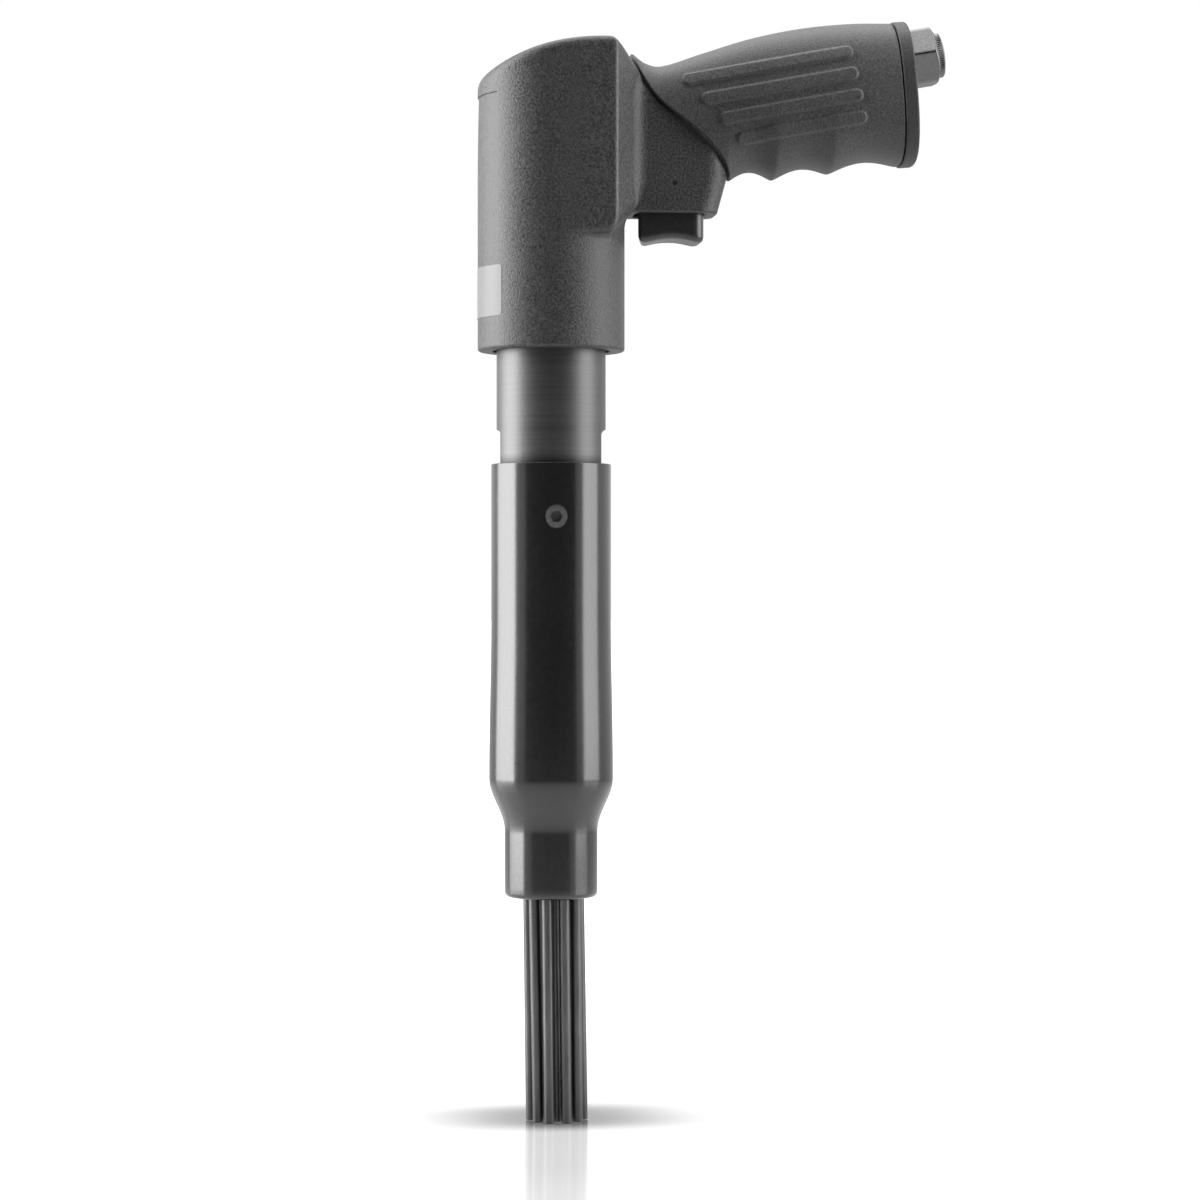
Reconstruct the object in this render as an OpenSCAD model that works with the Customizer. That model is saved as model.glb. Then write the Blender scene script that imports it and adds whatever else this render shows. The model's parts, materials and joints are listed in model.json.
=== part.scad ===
// Pistol-grip needle scaler driven by compressed air.
// Millimetres, +Z up along the tool axis, needle tips at Z = 0, handle towards +X.

/* [Needles] */
// Diameter of one needle
needle_d = 4; // [3.4:0.1:4.2]
// Length of one needle
needle_len = 180; // [176:1:184]
// Diameter of a needle's head
needle_head_d = 5.4; // [5:0.1:5.8]
// Height of a needle's head
needle_head_h = 3; // [2:0.1:4]
// Pitch radius of the outer ring of needles
needle_ring_r = 9.4; // [9.1:0.1:9.8]
// Pitch radius of the inner group of needles
needle_core_r = 3.6; // [3.5:0.1:3.8]
// Free travel of each needle in its holder
needle_float = 3; // [1:0.5:4]
// Forward travel of the holder and the anvil
holder_stroke = 10; // [6:1:12]

/* [Needle holder] */
// Thickness of the holder's floor
holder_floor = 16; // [12:1:18]
// Depth of the anvil's nose in the holder's cup
anvil_nose_h = 8.4; // [6:0.1:10]
// Wall of the holder's cup
holder_wall = 4.3; // [3.5:0.1:5]
// Wire of the needle spring
needle_wire = 2.6; // [2:0.1:3]
// Room for one coil of the needle spring
needle_pitch = 4.8; // [4.4:0.1:6]

/* [Needle tube] */
// Outer radius of the tube
tube_r = 22.2; // [21.6:0.1:23]
// Wall of the tube
tube_wall = 3.4; // [3:0.1:3.8]
// Length of the tube with its nose
tube_len = 160; // [154:1:168]
// Length of the tube above the needles' heads
tube_over = 62.8; // [60:0.1:66]
// Extra radius of the tube above its shoulder
tube_swell = 0.45; // [0:0.05:0.8]
// Outer radius of the nose
nose_r = 17.2; // [16.4:0.1:18]
// Bore radius of the nose
nose_bore_r = 13; // [12.6:0.1:13.6]
// Length of the straight nose
nose_len = 24.2; // [20:0.1:28]
// Length of the shoulder between nose and tube
shoulder_len = 20; // [14:0.5:24]
// Rounding of the nose's lower edge
nose_round = 2; // [1:0.1:3]
// Diameter of the set screws
screw_d = 8; // [6:0.5:8]
// Socket of the set screws across flats
screw_socket = 4; // [3:0.5:4]
// Distance of the set screws below the tube's top
screw_drop = 19.8; // [12:0.1:24]

/* [Barrel] */
// Outer radius of the barrel
barrel_r = 20.2; // [19.8:0.1:20.8]
// Barrel length that shows between housing and step
barrel_show = 29.6; // [24:0.1:36]
// Spigot length that shows between step and tube
spigot_show = 12.1; // [8:0.1:16]
// Barrel length inside the housing
barrel_in = 60.5; // [56:0.5:63]
// Height of the exhaust ports above the housing's lower end
port_rise = 35.5; // [32:0.5:38]
// Bore radius of the barrel
bore_r = 12.5; // [11.5:0.1:13.5]
// Length of the anvil's bush
bush_len = 28; // [22:1:32]
// Wall of the anvil's bush
bush_wall = 4; // [2.5:0.1:4]

/* [Striker] */
// Radius of the anvil's shank
shank_r = 8; // [7:0.1:8.3]
// Thickness of the anvil's flange
anvil_flange_h = 12; // [8:0.5:14]
// Thickness of the rubber buffer ring
buffer_h = 4; // [2:0.5:6]
// Length of the piston
piston_len = 42; // [34:1:46]

/* [Valve] */
// Thickness of the valve seat
valve_seat_h = 6; // [4:0.5:8]
// Thickness of the valve cap
valve_cap_h = 10; // [8:0.5:12]
// Thickness of the valve gasket
valve_gasket_h = 1; // [0.5:0.1:2]
// Radius of the valve disc
disc_r = 10; // [8:0.5:11]
// Thickness of the valve disc
disc_h = 1.5; // [1:0.1:2]
// Travel of the valve disc
disc_travel = 0.8; // [0.4:0.1:1.2]
// Height of the air chamber over the valve
air_chamber_h = 7; // [6.5:0.5:9]

/* [Housing] */
// Radius of the body
body_r = 27.2; // [26.4:0.1:28.4]
// Height of the body from its lower edge to its crown
body_len = 113.4; // [110:0.1:118]
// Radius of the arched top
dome_r = 84; // [78:1:110]
// Place of the crown along the handle
dome_x = 18.5; // [12:0.5:22]
// Rounding of the top edge
top_round = 2.6; // [1:0.1:4]
// End of the flat sides along the handle
flat_x = 21.9; // [20:0.1:23]
// Half width across the flat sides at their end
flat_half = 26.4; // [25:0.1:27]
// End of the bevelled cheeks along the handle
bevel_x = 30.6; // [29:0.1:32]
// Drop of the top over the bevelled cheeks
bevel_drop = 6; // [4:0.5:8]
// Depth of the shallow field on the back
field_depth = 0.6; // [0.3:0.1:1.2]
// Height of the shallow field on the back
field_h = 22; // [16:1:26]
// Half angle of the shallow field on the back
field_angle = 38; // [20:1:50]

/* [Trigger block] */
// Half width of the neck and the trigger block
neck_half = 12; // [11.6:0.1:12.6]
// Distance of the block's lower face under the handle axis
block_drop = 43.7; // [42:0.1:46]
// End of the block's lower edge along the handle
block_low_x = 61.5; // [60.5:0.1:63]
// End of the block where the sleeve begins
block_high_x = 65.2; // [64:0.1:66]
// Corner radius of the block's rounded end
block_round = 8; // [4:0.5:10]
// Diameter of the trigger pin
pin_d = 2; // [1.5:0.1:2.5]
// Height of the trigger pin over the block's lower face
pin_rise = 11; // [9:0.5:12]

/* [Trigger and throttle] */
// Place of the trigger along the handle
trigger_x = 44.5; // [43.5:0.1:45.5]
// Length of the trigger
trigger_len = 23.5; // [22:0.5:26]
// Half width of the trigger
trigger_half = 9; // [7.5:0.1:9.2]
// Height of the trigger that shows
trigger_drop = 11; // [8:0.1:14]
// Depth of the finger hollow
trigger_hollow = 2.4; // [1:0.1:3]
// Corner radius of the trigger
trigger_round = 4; // [2:0.1:5]
// Travel of the trigger
trigger_travel = 6; // [3:0.5:6]
// Height of the handle axis over the feed passage at the throttle
throttle_lift = 13.5; // [13:0.1:14.5]
// Outer radius of the throttle seat
seat_r = 6.5; // [6:0.1:7]
// Length of the throttle seat
seat_len = 11.4; // [10:0.1:12]
// Radius of the throttle stem
stem_r = 2.5; // [2:0.1:3]
// Wire of the throttle spring
throttle_wire = 0.9; // [0.7:0.1:1]
// Coils of the throttle spring
throttle_coils = 5; // [4:1:6]

/* [Handle] */
// Tilt of the handle axis
handle_tilt = 10; // [8:0.5:12]
// Length of the handle from the tool axis to the end cap
handle_len = 128.9; // [124:0.1:136]
// Height of the handle's core
core_h = 40.5; // [39:0.5:41]
// Half width of the handle's core
core_half = 12.2; // [12:0.1:12.6]
// Height of the core over the handle axis
core_over = 10.5; // [10:0.5:11.5]
// Half width of the sleeve at its front
sleeve_front_half = 13.7; // [13.5:0.1:14.5]
// Half width of the sleeve at its end
sleeve_back_half = 20.5; // [19:0.1:22]
// Front tip of the sleeve along the handle, on top
sleeve_tip_x = 29.7; // [29:0.1:31]
// Front edge of the sleeve along the handle, underneath
sleeve_low_x = 66.4; // [66:0.1:68]
// Bow of the sleeve's front edge
sleeve_bow = 0.9; // [-1:0.1:2]
// Sway of the sleeve's S-shaped front edge
sleeve_sway = 5.8; // [4:0.1:8]
// Depth of the sleeve under the handle axis at its front
sleeve_front_drop = 33.9; // [33.6:0.1:36]
// Depth of the sleeve under the handle axis at its end
sleeve_back_drop = 38.9; // [38:0.1:40]
// Depth of the finger grooves
groove_depth = 3.2; // [1:0.1:3.6]
// Width of a raised rib
rib_w = 4.4; // [3:0.1:5]
// Height of a raised rib
rib_h = 0.65; // [0.3:0.05:1]
// Distance between the ribs
rib_pitch = 8.2; // [7:0.1:9]

/* [End cap and inlet] */
// Thickness of the end cap
cap_h = 5; // [4:0.1:6]
// Tilt of the end cap
cap_tilt = 4.6; // [3:0.1:7]
// Amount that the end cap stands out past the sleeve
cap_lip = 0.5; // [0.2:0.1:1]
// Width of the inlet hexagon across flats
hex_af = 20.5; // [20:0.5:23]
// Length of the inlet hexagon
hex_len = 11.5; // [8:0.5:13]
// Turn of the inlet hexagon about its axis
hex_turn = 29; // [0:1:30]
// Radius of the collar past the hexagon
collar_r = 8.35; // [8:0.05:9]
// Length of the collar past the hexagon
collar_len = 2.6; // [1.5:0.1:4]
// Radius of the inlet's thread bore
inlet_bore_r = 5.9; // [5.5:0.05:6.2]
// Depth of the inlet's thread bore
inlet_bore_len = 11.8; // [11:0.1:13]
// Radius of the inlet's shank
inlet_shank_r = 8; // [7.6:0.1:8.4]
// Length of the inlet's shank
inlet_shank_len = 18; // [14:0.5:20]
// Radius of the exhaust chamber in the handle
exhaust_r = 7.5; // [6:0.1:8]
// Distance of the exhaust chamber under the handle axis
exhaust_drop = 18.5; // [17.5:0.1:19.5]

/* [Clearances] */
// Gap between pieces that rest on or pass each other
rest_gap = 0.3; // [0.2:0.05:0.4]
// Radial clearance of a sliding fit
run_fit = 0.05; // [0.02:0.01:0.08]
// Radial clearance of a pushed-in fit
push_fit = 0.05; // [0.02:0.01:0.1]
// Radial clearance of the tube on the barrel
spigot_fit = 0.1; // [0.05:0.01:0.2]
// Radial clearance of the needles in their holder
needle_fit = 0.1; // [0.05:0.01:0.15]
// Clearance of the rubber sleeve on the casting
sleeve_fit = 0.1; // [0.05:0.01:0.2]

/* [Hidden] */
$fn = 64;
hull_fn = 32;
skin = 0.02;
far = 400;

ring_count = 9;
core_count = 3;
needle_count = ring_count + core_count;

// Heights along the tool axis
tube_top = needle_len + tube_over;
needle_reach = tube_top - tube_len;
shoulder_z = needle_reach + nose_len;
shoulder_top = shoulder_z + shoulder_len;
tube_bore_r = tube_r - tube_wall;
swell_len = 50;
spring_seat_z = shoulder_top - 1;
screw_z = tube_top - screw_drop;
spigot_r = tube_bore_r - spigot_fit;
step_z = tube_top + spigot_show;
body_z = step_z + barrel_show;
top_z = body_z + body_len;
head_seat_z = needle_len - needle_head_h;
holder_z = head_seat_z - holder_floor;
needle_coils = max(1, floor((holder_z - spring_seat_z) / needle_pitch));
anvil_z = needle_len + needle_float + rest_gap;
flange_z = anvil_z + anvil_nose_h;
holder_top = flange_z - rest_gap;
flange_top = flange_z + anvil_flange_h;
buffer_z = flange_top + rest_gap;
barrel_z = buffer_z + buffer_h;
bush_top = barrel_z + bush_len;
anvil_stand = 2;
anvil_top = bush_top + holder_stroke + anvil_stand;
piston_z = anvil_top + rest_gap;
barrel_top = body_z + barrel_in;
valve_cap_z = barrel_top + valve_seat_h;
valve_gasket_z = valve_cap_z + valve_cap_h;
air_chamber_z = valve_gasket_z + valve_gasket_h;
feed_z = air_chamber_z + air_chamber_h / 2;

// Radii along the tool axis
holder_r = tube_bore_r - rest_gap;
cup_r = holder_r - holder_wall;
anvil_nose_r = cup_r - 2 * rest_gap;
flange_r = holder_r - rest_gap;
bush_r = shank_r + run_fit + bush_wall;
barrel_hole_r = barrel_r + push_fit;
air_chamber_r = barrel_r - 5;
spring_r = tube_bore_r - needle_wire / 2 - 2 * rest_gap;
screw_groove_r = spigot_r - 1.5;
screw_face_r = tube_r - 0.3;
seal_groove_r = barrel_r - 2.4;
seal_z = body_z + 12;
seal_r = (barrel_r - seal_groove_r) / 2;
port_z = body_z + port_rise;
port_groove_r = barrel_r + 3.8;
port_r = 1.5;
rim_depth = 1.6;

// Handle axis: a line in the middle plane, tilted up towards the end cap
axis_throttle_z = feed_z + throttle_lift;
axis_root_z = axis_throttle_z - trigger_x * tan(handle_tilt);
block_z = axis_throttle_z - block_drop;
flats_z = block_z - 8;
cheek_top = top_z - bevel_drop;
upper_r = body_r + 0.15;

// Throttle, trigger and their passages
chamber_wall = 1.7;
chamber_r = seat_r - 0.5;
chamber_top = axis_throttle_z + 7.5;
neck_top = chamber_top + chamber_wall;
neck_round = 9;
seat_top = axis_throttle_z - 9;
pocket_top = seat_top - seat_len;
trigger_top = pocket_top - trigger_travel - 2 * rest_gap;
trigger_z = block_z - trigger_drop;
pin_r = pin_d / 2;
pin_z = block_z + pin_rise;
pin_sink = 1;
slot_half = pin_r + 0.15;
poppet_r = chamber_r - 0.5;
poppet_seal_h = 1.2;
poppet_h = 2.5;
poppet_z = seat_top + rest_gap + poppet_seal_h;
throttle_spring_z = poppet_z + poppet_h + throttle_wire / 2 + 0.1;
throttle_spring_top = chamber_top - throttle_wire / 2 - 0.1;
throttle_coil_r = poppet_r - throttle_wire / 2 - 0.2;
pilot_r = throttle_coil_r - throttle_wire / 2 - 0.4;
feed_r = 3;
inlet_passage_r = 5;

// Sleeve: heights over the handle axis and places as shares of the sleeve's length
sleeve_crown = [[0, 18.9], [0.05, 14.4], [0.11, 12.3], [0.26, 14.5], [0.44, 17.1], [0.625, 17.9],
    [0.81, 16.8], [1, 14]];
ridges = [0.32, 0.535, 0.748, 1.013];
sleeve_power = 2.5;
sleeve_rows = 40;
sleeve_sides = 36;
rib_count = 4;
rib_top = 4.2;
rib_front_x = 49.2;
rib_front_step = 5.3;
rib_back_x = 112.2;
rib_back_step = 0.3;

// End cap and inlet
cap_z = axis_z(handle_len) + (crown(1) - sleeve_back_drop) / 2;
cap_half_h = (crown(1) + sleeve_back_drop) / 2 / cos(cap_tilt);
inlet_s = (cap_h + handle_len * cos(cap_tilt) + (cap_z - axis_root_z) * sin(cap_tilt))
    / cos(handle_tilt - cap_tilt);
hex_r = hex_af / 2 / cos(30);
spot_r = hex_r + 0.6;
spot_depth = spot_r * tan(handle_tilt - cap_tilt) + 0.1;
inlet_seal_h = 1;
inlet_seal_r = hex_af / 2 - 0.4;
hex_chamfer = 1.6;
inlet_hole_r = inlet_shank_r + push_fit;
inlet_through_r = inlet_bore_r - 1.9;
screen_h = 1.2;
screen_r = inlet_bore_r - 0.4;
screen_z = inlet_seal_h - spot_depth + hex_len + collar_len - inlet_bore_len - screen_h - rest_gap;
vent_r = 1.5;
vent_pitch_r = 4.6;
silencer_len = 22;
duct_r = 1.7;
duct_y = neck_half - 2.6;
duct_x = (barrel_r + body_r) / 2 - 1;
duct_z = pocket_top + 5;
duct_end_x = 76;

function needle_name(i) = str("needle_", i < 9 ? "0" : "", i + 1);

cast_grey = "#3a3b3d";
rubber_grey = "#333436";
steel_grey = "#55575a";
gloss_black = "#1c1d1f";

// Shared curves

function axis_z(x) = axis_root_z + x * tan(handle_tilt);
function ease(t) = (1 - cos(180 * min(1, max(0, t)))) / 2;
function signed_power(v, p) = sign(v) * pow(abs(v), p);
function dome_z(x) = top_z - dome_r + sqrt(dome_r * dome_r - (x - dome_x) * (x - dome_x));

// Slope at a listed point, from its neighbours
function slope_at(list, i) =
    let (a = list[max(0, i - 1)], b = list[min(len(list) - 1, i + 1)])
    (b[1] - a[1]) / (b[0] - a[0]);

// Smooth curve through the listed points
function curve(list, t) =
    let (
        i = min(len(list) - 2, max([for (k = [0:len(list) - 1]) t >= list[k][0] ? k : 0])),
        span = list[i + 1][0] - list[i][0],
        u = min(1, max(0, (t - list[i][0]) / span)),
        rise = span * (slope_at(list, i) * (u * u * u - 2 * u * u + u)
            + slope_at(list, i + 1) * (u * u * u - u * u))
    )
    list[i][1] * (2 * u * u * u - 3 * u * u + 1) + list[i + 1][1] * (3 * u * u - 2 * u * u * u) + rise;

function crown(t) = curve(sleeve_crown, t);

// Lift of the sleeve's underside in the finger grooves
function groove(t) =
    let (lifts = [for (k = [0:len(ridges) - 2]) if (t > ridges[k] && t <= ridges[k + 1])
        groove_depth * sin(180 * (t - ridges[k]) / (ridges[k + 1] - ridges[k]))])
    len(lifts) > 0 ? lifts[0] : 0;

function sleeve_share(x) = (x - sleeve_tip_x) / (handle_len - sleeve_tip_x);
function sleeve_drop(t) = sleeve_front_drop + (sleeve_back_drop - sleeve_front_drop) * t - groove(t);
function sleeve_half(t) = sleeve_front_half + (sleeve_back_half - sleeve_front_half) * ease(t);

// Front edge of the sleeve at a height share from -1 underneath to 1 on top
function sleeve_front(h) =
    (sleeve_tip_x + sleeve_low_x) / 2 - (sleeve_low_x - sleeve_tip_x) / 2 * h
    + (sleeve_bow - sleeve_sway * h) * (1 - h * h);

function sleeve_back(h) = handle_len - rest_gap - cap_half_h * h * sin(cap_tilt);

// Point of the sleeve's skin, u along the handle and angle v round it
function sleeve_point(u, v, grow) =
    let (
        h = signed_power(sin(v), 2 / sleeve_power),
        x = sleeve_front(h) + u * (sleeve_back(h) - sleeve_front(h)),
        t = sleeve_share(x),
        middle = (crown(t) - sleeve_drop(t)) / 2,
        half = (crown(t) + sleeve_drop(t)) / 2
    )
    [x, (sleeve_half(t) + grow) * signed_power(cos(v), 2 / sleeve_power), axis_z(x) + middle + half * h];

// Shared shapes

module on_handle_axis(s) {
    translate([s * cos(handle_tilt), 0, axis_root_z + s * sin(handle_tilt)])
        rotate([0, 90 - handle_tilt, 0]) children();
}

module on_end_cap() {
    translate([handle_len, 0, cap_z]) rotate([0, 90 - cap_tilt, 0]) children();
}

// Extrudes an outline drawn in X and Z across the tool
module across(width) {
    rotate([90, 0, 0]) linear_extrude(width, center = true) children();
}

module rounded_rectangle(length, width, radius) {
    square([length - 2 * radius, width], center = true);
    square([length, width - 2 * radius], center = true);
    for (x = [-1, 1], y = [-1, 1])
        translate([x * (length / 2 - radius), y * (width / 2 - radius)]) circle(radius);
}

// Ring between two radii, from z upwards
module ring(outer, inner, z, h) {
    translate([0, 0, z]) linear_extrude(h) difference() {
        circle(outer);
        circle(inner);
    }
}

// Holes spread evenly on a circle
module around(count, radius, start = 0) {
    for (i = [0:count - 1]) rotate([0, 0, start + i * 360 / count]) translate([radius, 0, 0]) children();
}

// Points of a helical wire, ring by ring
spring_rings = 12;
wire_sides = 6;
function coil_points(radius, wire, low, high, coils) = [
    for (i = [0:coils * spring_rings], k = [0:wire_sides - 1])
        let (
            a = 360 * i / spring_rings,
            r = radius + wire / 2 * cos(360 * k / wire_sides)
        )
        [r * cos(a), r * sin(a), low + (high - low) * i / (coils * spring_rings)
            + wire / 2 * sin(360 * k / wire_sides)]
];
function tube_faces(rings, sides) = concat(
    [for (i = [0:rings - 2], k = [0:sides - 1]) let (n = (k + 1) % sides)
        [i * sides + k, (i + 1) * sides + k, (i + 1) * sides + n]],
    [for (i = [0:rings - 2], k = [0:sides - 1]) let (n = (k + 1) % sides)
        [i * sides + k, (i + 1) * sides + n, i * sides + n]],
    [for (k = [1:sides - 2]) [0, k, k + 1]],
    [for (k = [1:sides - 2]) let (e = (rings - 1) * sides) [e, e + k + 1, e + k]]
);
// Least clear distance between neighbouring turns, measured on the wire's middle line
function coil_gap(radius, wire, low, high, coils) =
    let (line = [for (i = [0:coils * spring_rings]) let (a = 360 * i / spring_rings)
        [radius * cos(a), radius * sin(a), low + (high - low) * i / (coils * spring_rings)]])
    min([for (i = [0:(coils - 1) * spring_rings], k = [spring_rings / 2:3 * spring_rings / 2])
        if (i + k < len(line)) norm(line[i + k] - line[i])]) - wire;
module coil_spring(radius, wire, low, high, coils) {
    echo(least_gap_between_turns = coil_gap(radius, wire, low, high, coils));
    polyhedron(coil_points(radius, wire, low, high, coils),
        tube_faces(coils * spring_rings + 1, wire_sides));
}

// Casting

// Outline of the body's upper part, seen from above: round back, flat sides
function body_outline(inset) = concat(
    [for (a = [90:7.5:270]) [(upper_r - inset) * cos(a), (upper_r - inset) * sin(a)]],
    [[flat_x - inset, -flat_half + inset], [flat_x - inset, flat_half - inset]]
);

module upper_body() {
    hull() {
        translate([0, 0, flats_z]) linear_extrude(skin) polygon(body_outline(0));
        for (p = body_outline(top_round))
            translate([p[0], p[1], dome_z(p[0]) - top_round]) sphere(top_round, $fn = 20);
        for (y = [-1, 1]) translate([bevel_x - 1, y * (neck_half - 1), 0]) {
            translate([0, 0, block_z + 1]) sphere(1, $fn = 12);
            translate([0, 0, cheek_top - 1]) sphere(1, $fn = 12);
        }
    }
}

// Seen from above: the block's straight sides and rounded end
module block_plan(end_x, radius, half) {
    translate([0, -half]) square([end_x - radius, 2 * half]);
    for (y = [-1, 1]) translate([end_x - radius, y * (half - radius)]) circle(radius, $fn = hull_fn);
}

module neck(grow = 0) {
    half = neck_half + grow;
    hull() {
        translate([0, 0, block_z - grow]) linear_extrude(skin)
            block_plan(block_low_x - 1, block_round - 1, half - 1);
        translate([0, 0, block_z + 1]) linear_extrude(skin)
            block_plan(block_low_x + grow, block_round, half);
        translate([0, 0, block_z + 13]) linear_extrude(skin)
            block_plan(block_high_x + grow, block_round, half);
        translate([0, 0, block_z + 25]) linear_extrude(skin) block_plan(block_high_x + grow, 3, half);
        for (y = [-1, 1]) translate([0, y * (neck_half - neck_round), neck_top - neck_round])
            rotate([0, 90, 0])
                cylinder(block_high_x - 12, neck_round + grow, neck_round + grow, $fn = hull_fn);
    }
}

// Handle core: a rounded bar along the handle axis, cut square to the end cap
module core(grow = 0) {
    core_round = 10;
    front_top = sleeve_low_x - 17;
    high = neck_top + 12;
    low = block_z + 16;
    intersection() {
        on_handle_axis(0) translate([core_h / 2 - core_over, 0, 0]) linear_extrude(inlet_s + 5)
            rounded_rectangle(core_h + 2 * grow, 2 * core_half + 2 * grow, core_round + grow);
        across(far) polygon([
            [front_top, high],
            [sleeve_low_x + 1, low],
            [handle_len + (cap_z - low) * tan(cap_tilt), low],
            [handle_len - (high + 20 - cap_z) * tan(cap_tilt), high + 20],
            [front_top, high + 20]
        ]);
    }
}

// Stepped hole that takes the barrel and the valve, with its exhaust groove
module main_bore() {
    translate([0, 0, body_z - 1]) cylinder(rim_depth + 1, barrel_hole_r + 1.4, barrel_hole_r + 1.4);
    translate([0, 0, body_z]) cylinder(air_chamber_z - body_z, barrel_hole_r, barrel_hole_r);
    translate([0, 0, body_z])
        cylinder(air_chamber_z + air_chamber_h - body_z, air_chamber_r, air_chamber_r);
    translate([0, 0, port_z - 4]) cylinder(8, port_groove_r, port_groove_r);
}

module trigger_pocket() {
    translate([trigger_x, 0, block_z - 1]) linear_extrude(pocket_top - block_z + 1)
        rounded_rectangle(trigger_len + 2 * rest_gap, 2 * (trigger_half + rest_gap),
            trigger_round + rest_gap);
}

module air_passages() {
    translate([trigger_x, 0, pocket_top - skin])
        cylinder(seat_len + skin, seat_r + push_fit, seat_r + push_fit);
    translate([trigger_x, 0, seat_top - 1]) cylinder(chamber_top - seat_top + 1, chamber_r, chamber_r);
    translate([0, 0, feed_z]) rotate([0, 90, 0]) cylinder(trigger_x, feed_r, feed_r);
    on_handle_axis(trigger_x / cos(handle_tilt)) cylinder(inlet_s, inlet_passage_r, inlet_passage_r);
    on_handle_axis(inlet_s - spot_depth - inlet_shank_len - 1)
        cylinder(inlet_shank_len + 20, inlet_hole_r, inlet_hole_r);
}

module exhaust_passages() {
    on_handle_axis(duct_end_x - 4) translate([exhaust_drop, 0, 0]) cylinder(far, exhaust_r, exhaust_r);
    for (y = [-duct_y, duct_y]) {
        translate([duct_x, y, port_z]) cylinder(duct_z - port_z, duct_r, duct_r);
        translate([duct_x, y, duct_z]) rotate([0, 90, 0]) cylinder(duct_end_x - duct_x, duct_r, duct_r);
    }
    translate([duct_end_x, 0, duct_z]) rotate([90, 0, 0])
        cylinder(2 * duct_y + 2 * duct_r, duct_r + 0.4, duct_r + 0.4, center = true);
}

module back_field() {
    field_z = dome_z(-body_r) - 7 - field_h;
    translate([0, 0, field_z]) rotate([0, 0, 180 - field_angle]) rotate_extrude(angle = 2 * field_angle)
        translate([body_r - field_depth, 0]) square([field_depth + 2, field_h]);
}

module housing() {
    color(cast_grey) difference() {
        union() {
            translate([0, 0, body_z]) cylinder(1, body_r - 0.8, body_r);
            translate([0, 0, body_z + 1]) cylinder(block_z - body_z, body_r, body_r);
            upper_body();
            neck();
            core();
        }
        main_bore();
        trigger_pocket();
        air_passages();
        exhaust_passages();
        back_field();
        translate([trigger_x, 0, pin_z]) rotate([90, 0, 0])
            cylinder(3 * neck_half, pin_r, pin_r, center = true);
    }
}

// Handle

module sleeve_skin(grow) {
    n = sleeve_sides;
    last = sleeve_rows * n;
    points = [for (i = [0:sleeve_rows], j = [0:n - 1])
        sleeve_point(i / sleeve_rows, 90 - 360 * j / n, grow)];
    walls = [for (i = [0:sleeve_rows - 1], j = [0:n - 1]) let (a = i * n + j, b = i * n + (j + 1) % n)
        each [[a, b, b + n], [a, b + n, a + n]]];
    front = [for (j = [0:n / 2 - 1]) each [[j, (n - j) % n, n - j - 1], [j, n - j - 1, j + 1]]];
    rungs = [for (f = front) if (f[0] != f[1] && f[1] != f[2] && f[0] != f[2]) f];
    back = [for (f = rungs) [last + f[2], last + f[1], last + f[0]]];
    polyhedron(points, concat(walls, rungs, back));
}

// Raised ribs on both sides of the sleeve, each a bar with round ends
module rib_bars() {
    for (i = [0:rib_count - 1]) {
        front = rib_front_x + i * rib_front_step;
        back = rib_back_x + i * rib_back_step;
        drop = rib_pitch * i - rib_top;
        on_handle_axis((front + back) / 2) rotate([90, 0, 0]) linear_extrude(far, center = true)
            translate([drop, 0]) rounded_rectangle(rib_w, back - front, rib_w / 2 - skin);
    }
}

module grip_sleeve() {
    color(rubber_grey) difference() {
        union() {
            sleeve_skin(0);
            intersection() {
                sleeve_skin(rib_h);
                rib_bars();
            }
        }
        neck(sleeve_fit);
        core(sleeve_fit);
        upper_body();
    }
}

module end_cap() {
    outline = [for (i = [0:47]) let (a = i * 7.5)
        [(cap_half_h + cap_lip) * signed_power(cos(a), 2 / sleeve_power),
            (sleeve_back_half + cap_lip) * signed_power(sin(a), 2 / sleeve_power)]];
    color(rubber_grey) difference() {
        on_end_cap() linear_extrude(cap_h) polygon(outline);
        on_handle_axis(inlet_s - spot_depth) cylinder(far, spot_r, spot_r);
        on_handle_axis(inlet_s - 2 * cap_h) cylinder(far, inlet_hole_r, inlet_hole_r);
        on_handle_axis(inlet_s - 2 * cap_h) translate([exhaust_drop, 0, 0]) {
            cylinder(far, vent_r, vent_r);
            around(6, vent_pitch_r) cylinder(far, vent_r, vent_r);
        }
    }
}

module inlet_bushing() {
    hex_z = inlet_seal_h - spot_depth;
    color("#8d9094") on_handle_axis(inlet_s) difference() {
        union() {
            intersection() {
                translate([0, 0, hex_z]) rotate([0, 0, hex_turn])
                    cylinder(hex_len, hex_r, hex_r, $fn = 6);
                translate([0, 0, hex_z])
                    cylinder(hex_len, hex_r + hex_len - hex_chamfer, hex_r - hex_chamfer);
            }
            translate([0, 0, hex_z]) cylinder(hex_len + collar_len, collar_r, collar_r);
            translate([0, 0, -spot_depth - inlet_shank_len])
                cylinder(inlet_shank_len + inlet_seal_h + 1, inlet_shank_r, inlet_shank_r);
        }
        translate([0, 0, hex_z + hex_len + collar_len - inlet_bore_len])
            cylinder(far, inlet_bore_r, inlet_bore_r);
        translate([0, 0, screen_z]) cylinder(far, screen_r, screen_r);
        translate([0, 0, -far / 2]) cylinder(far, inlet_through_r, inlet_through_r);
    }
}

module inlet_seal() {
    color("black") on_handle_axis(inlet_s)
        ring(inlet_seal_r, inlet_shank_r + push_fit, -spot_depth, inlet_seal_h);
}

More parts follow.
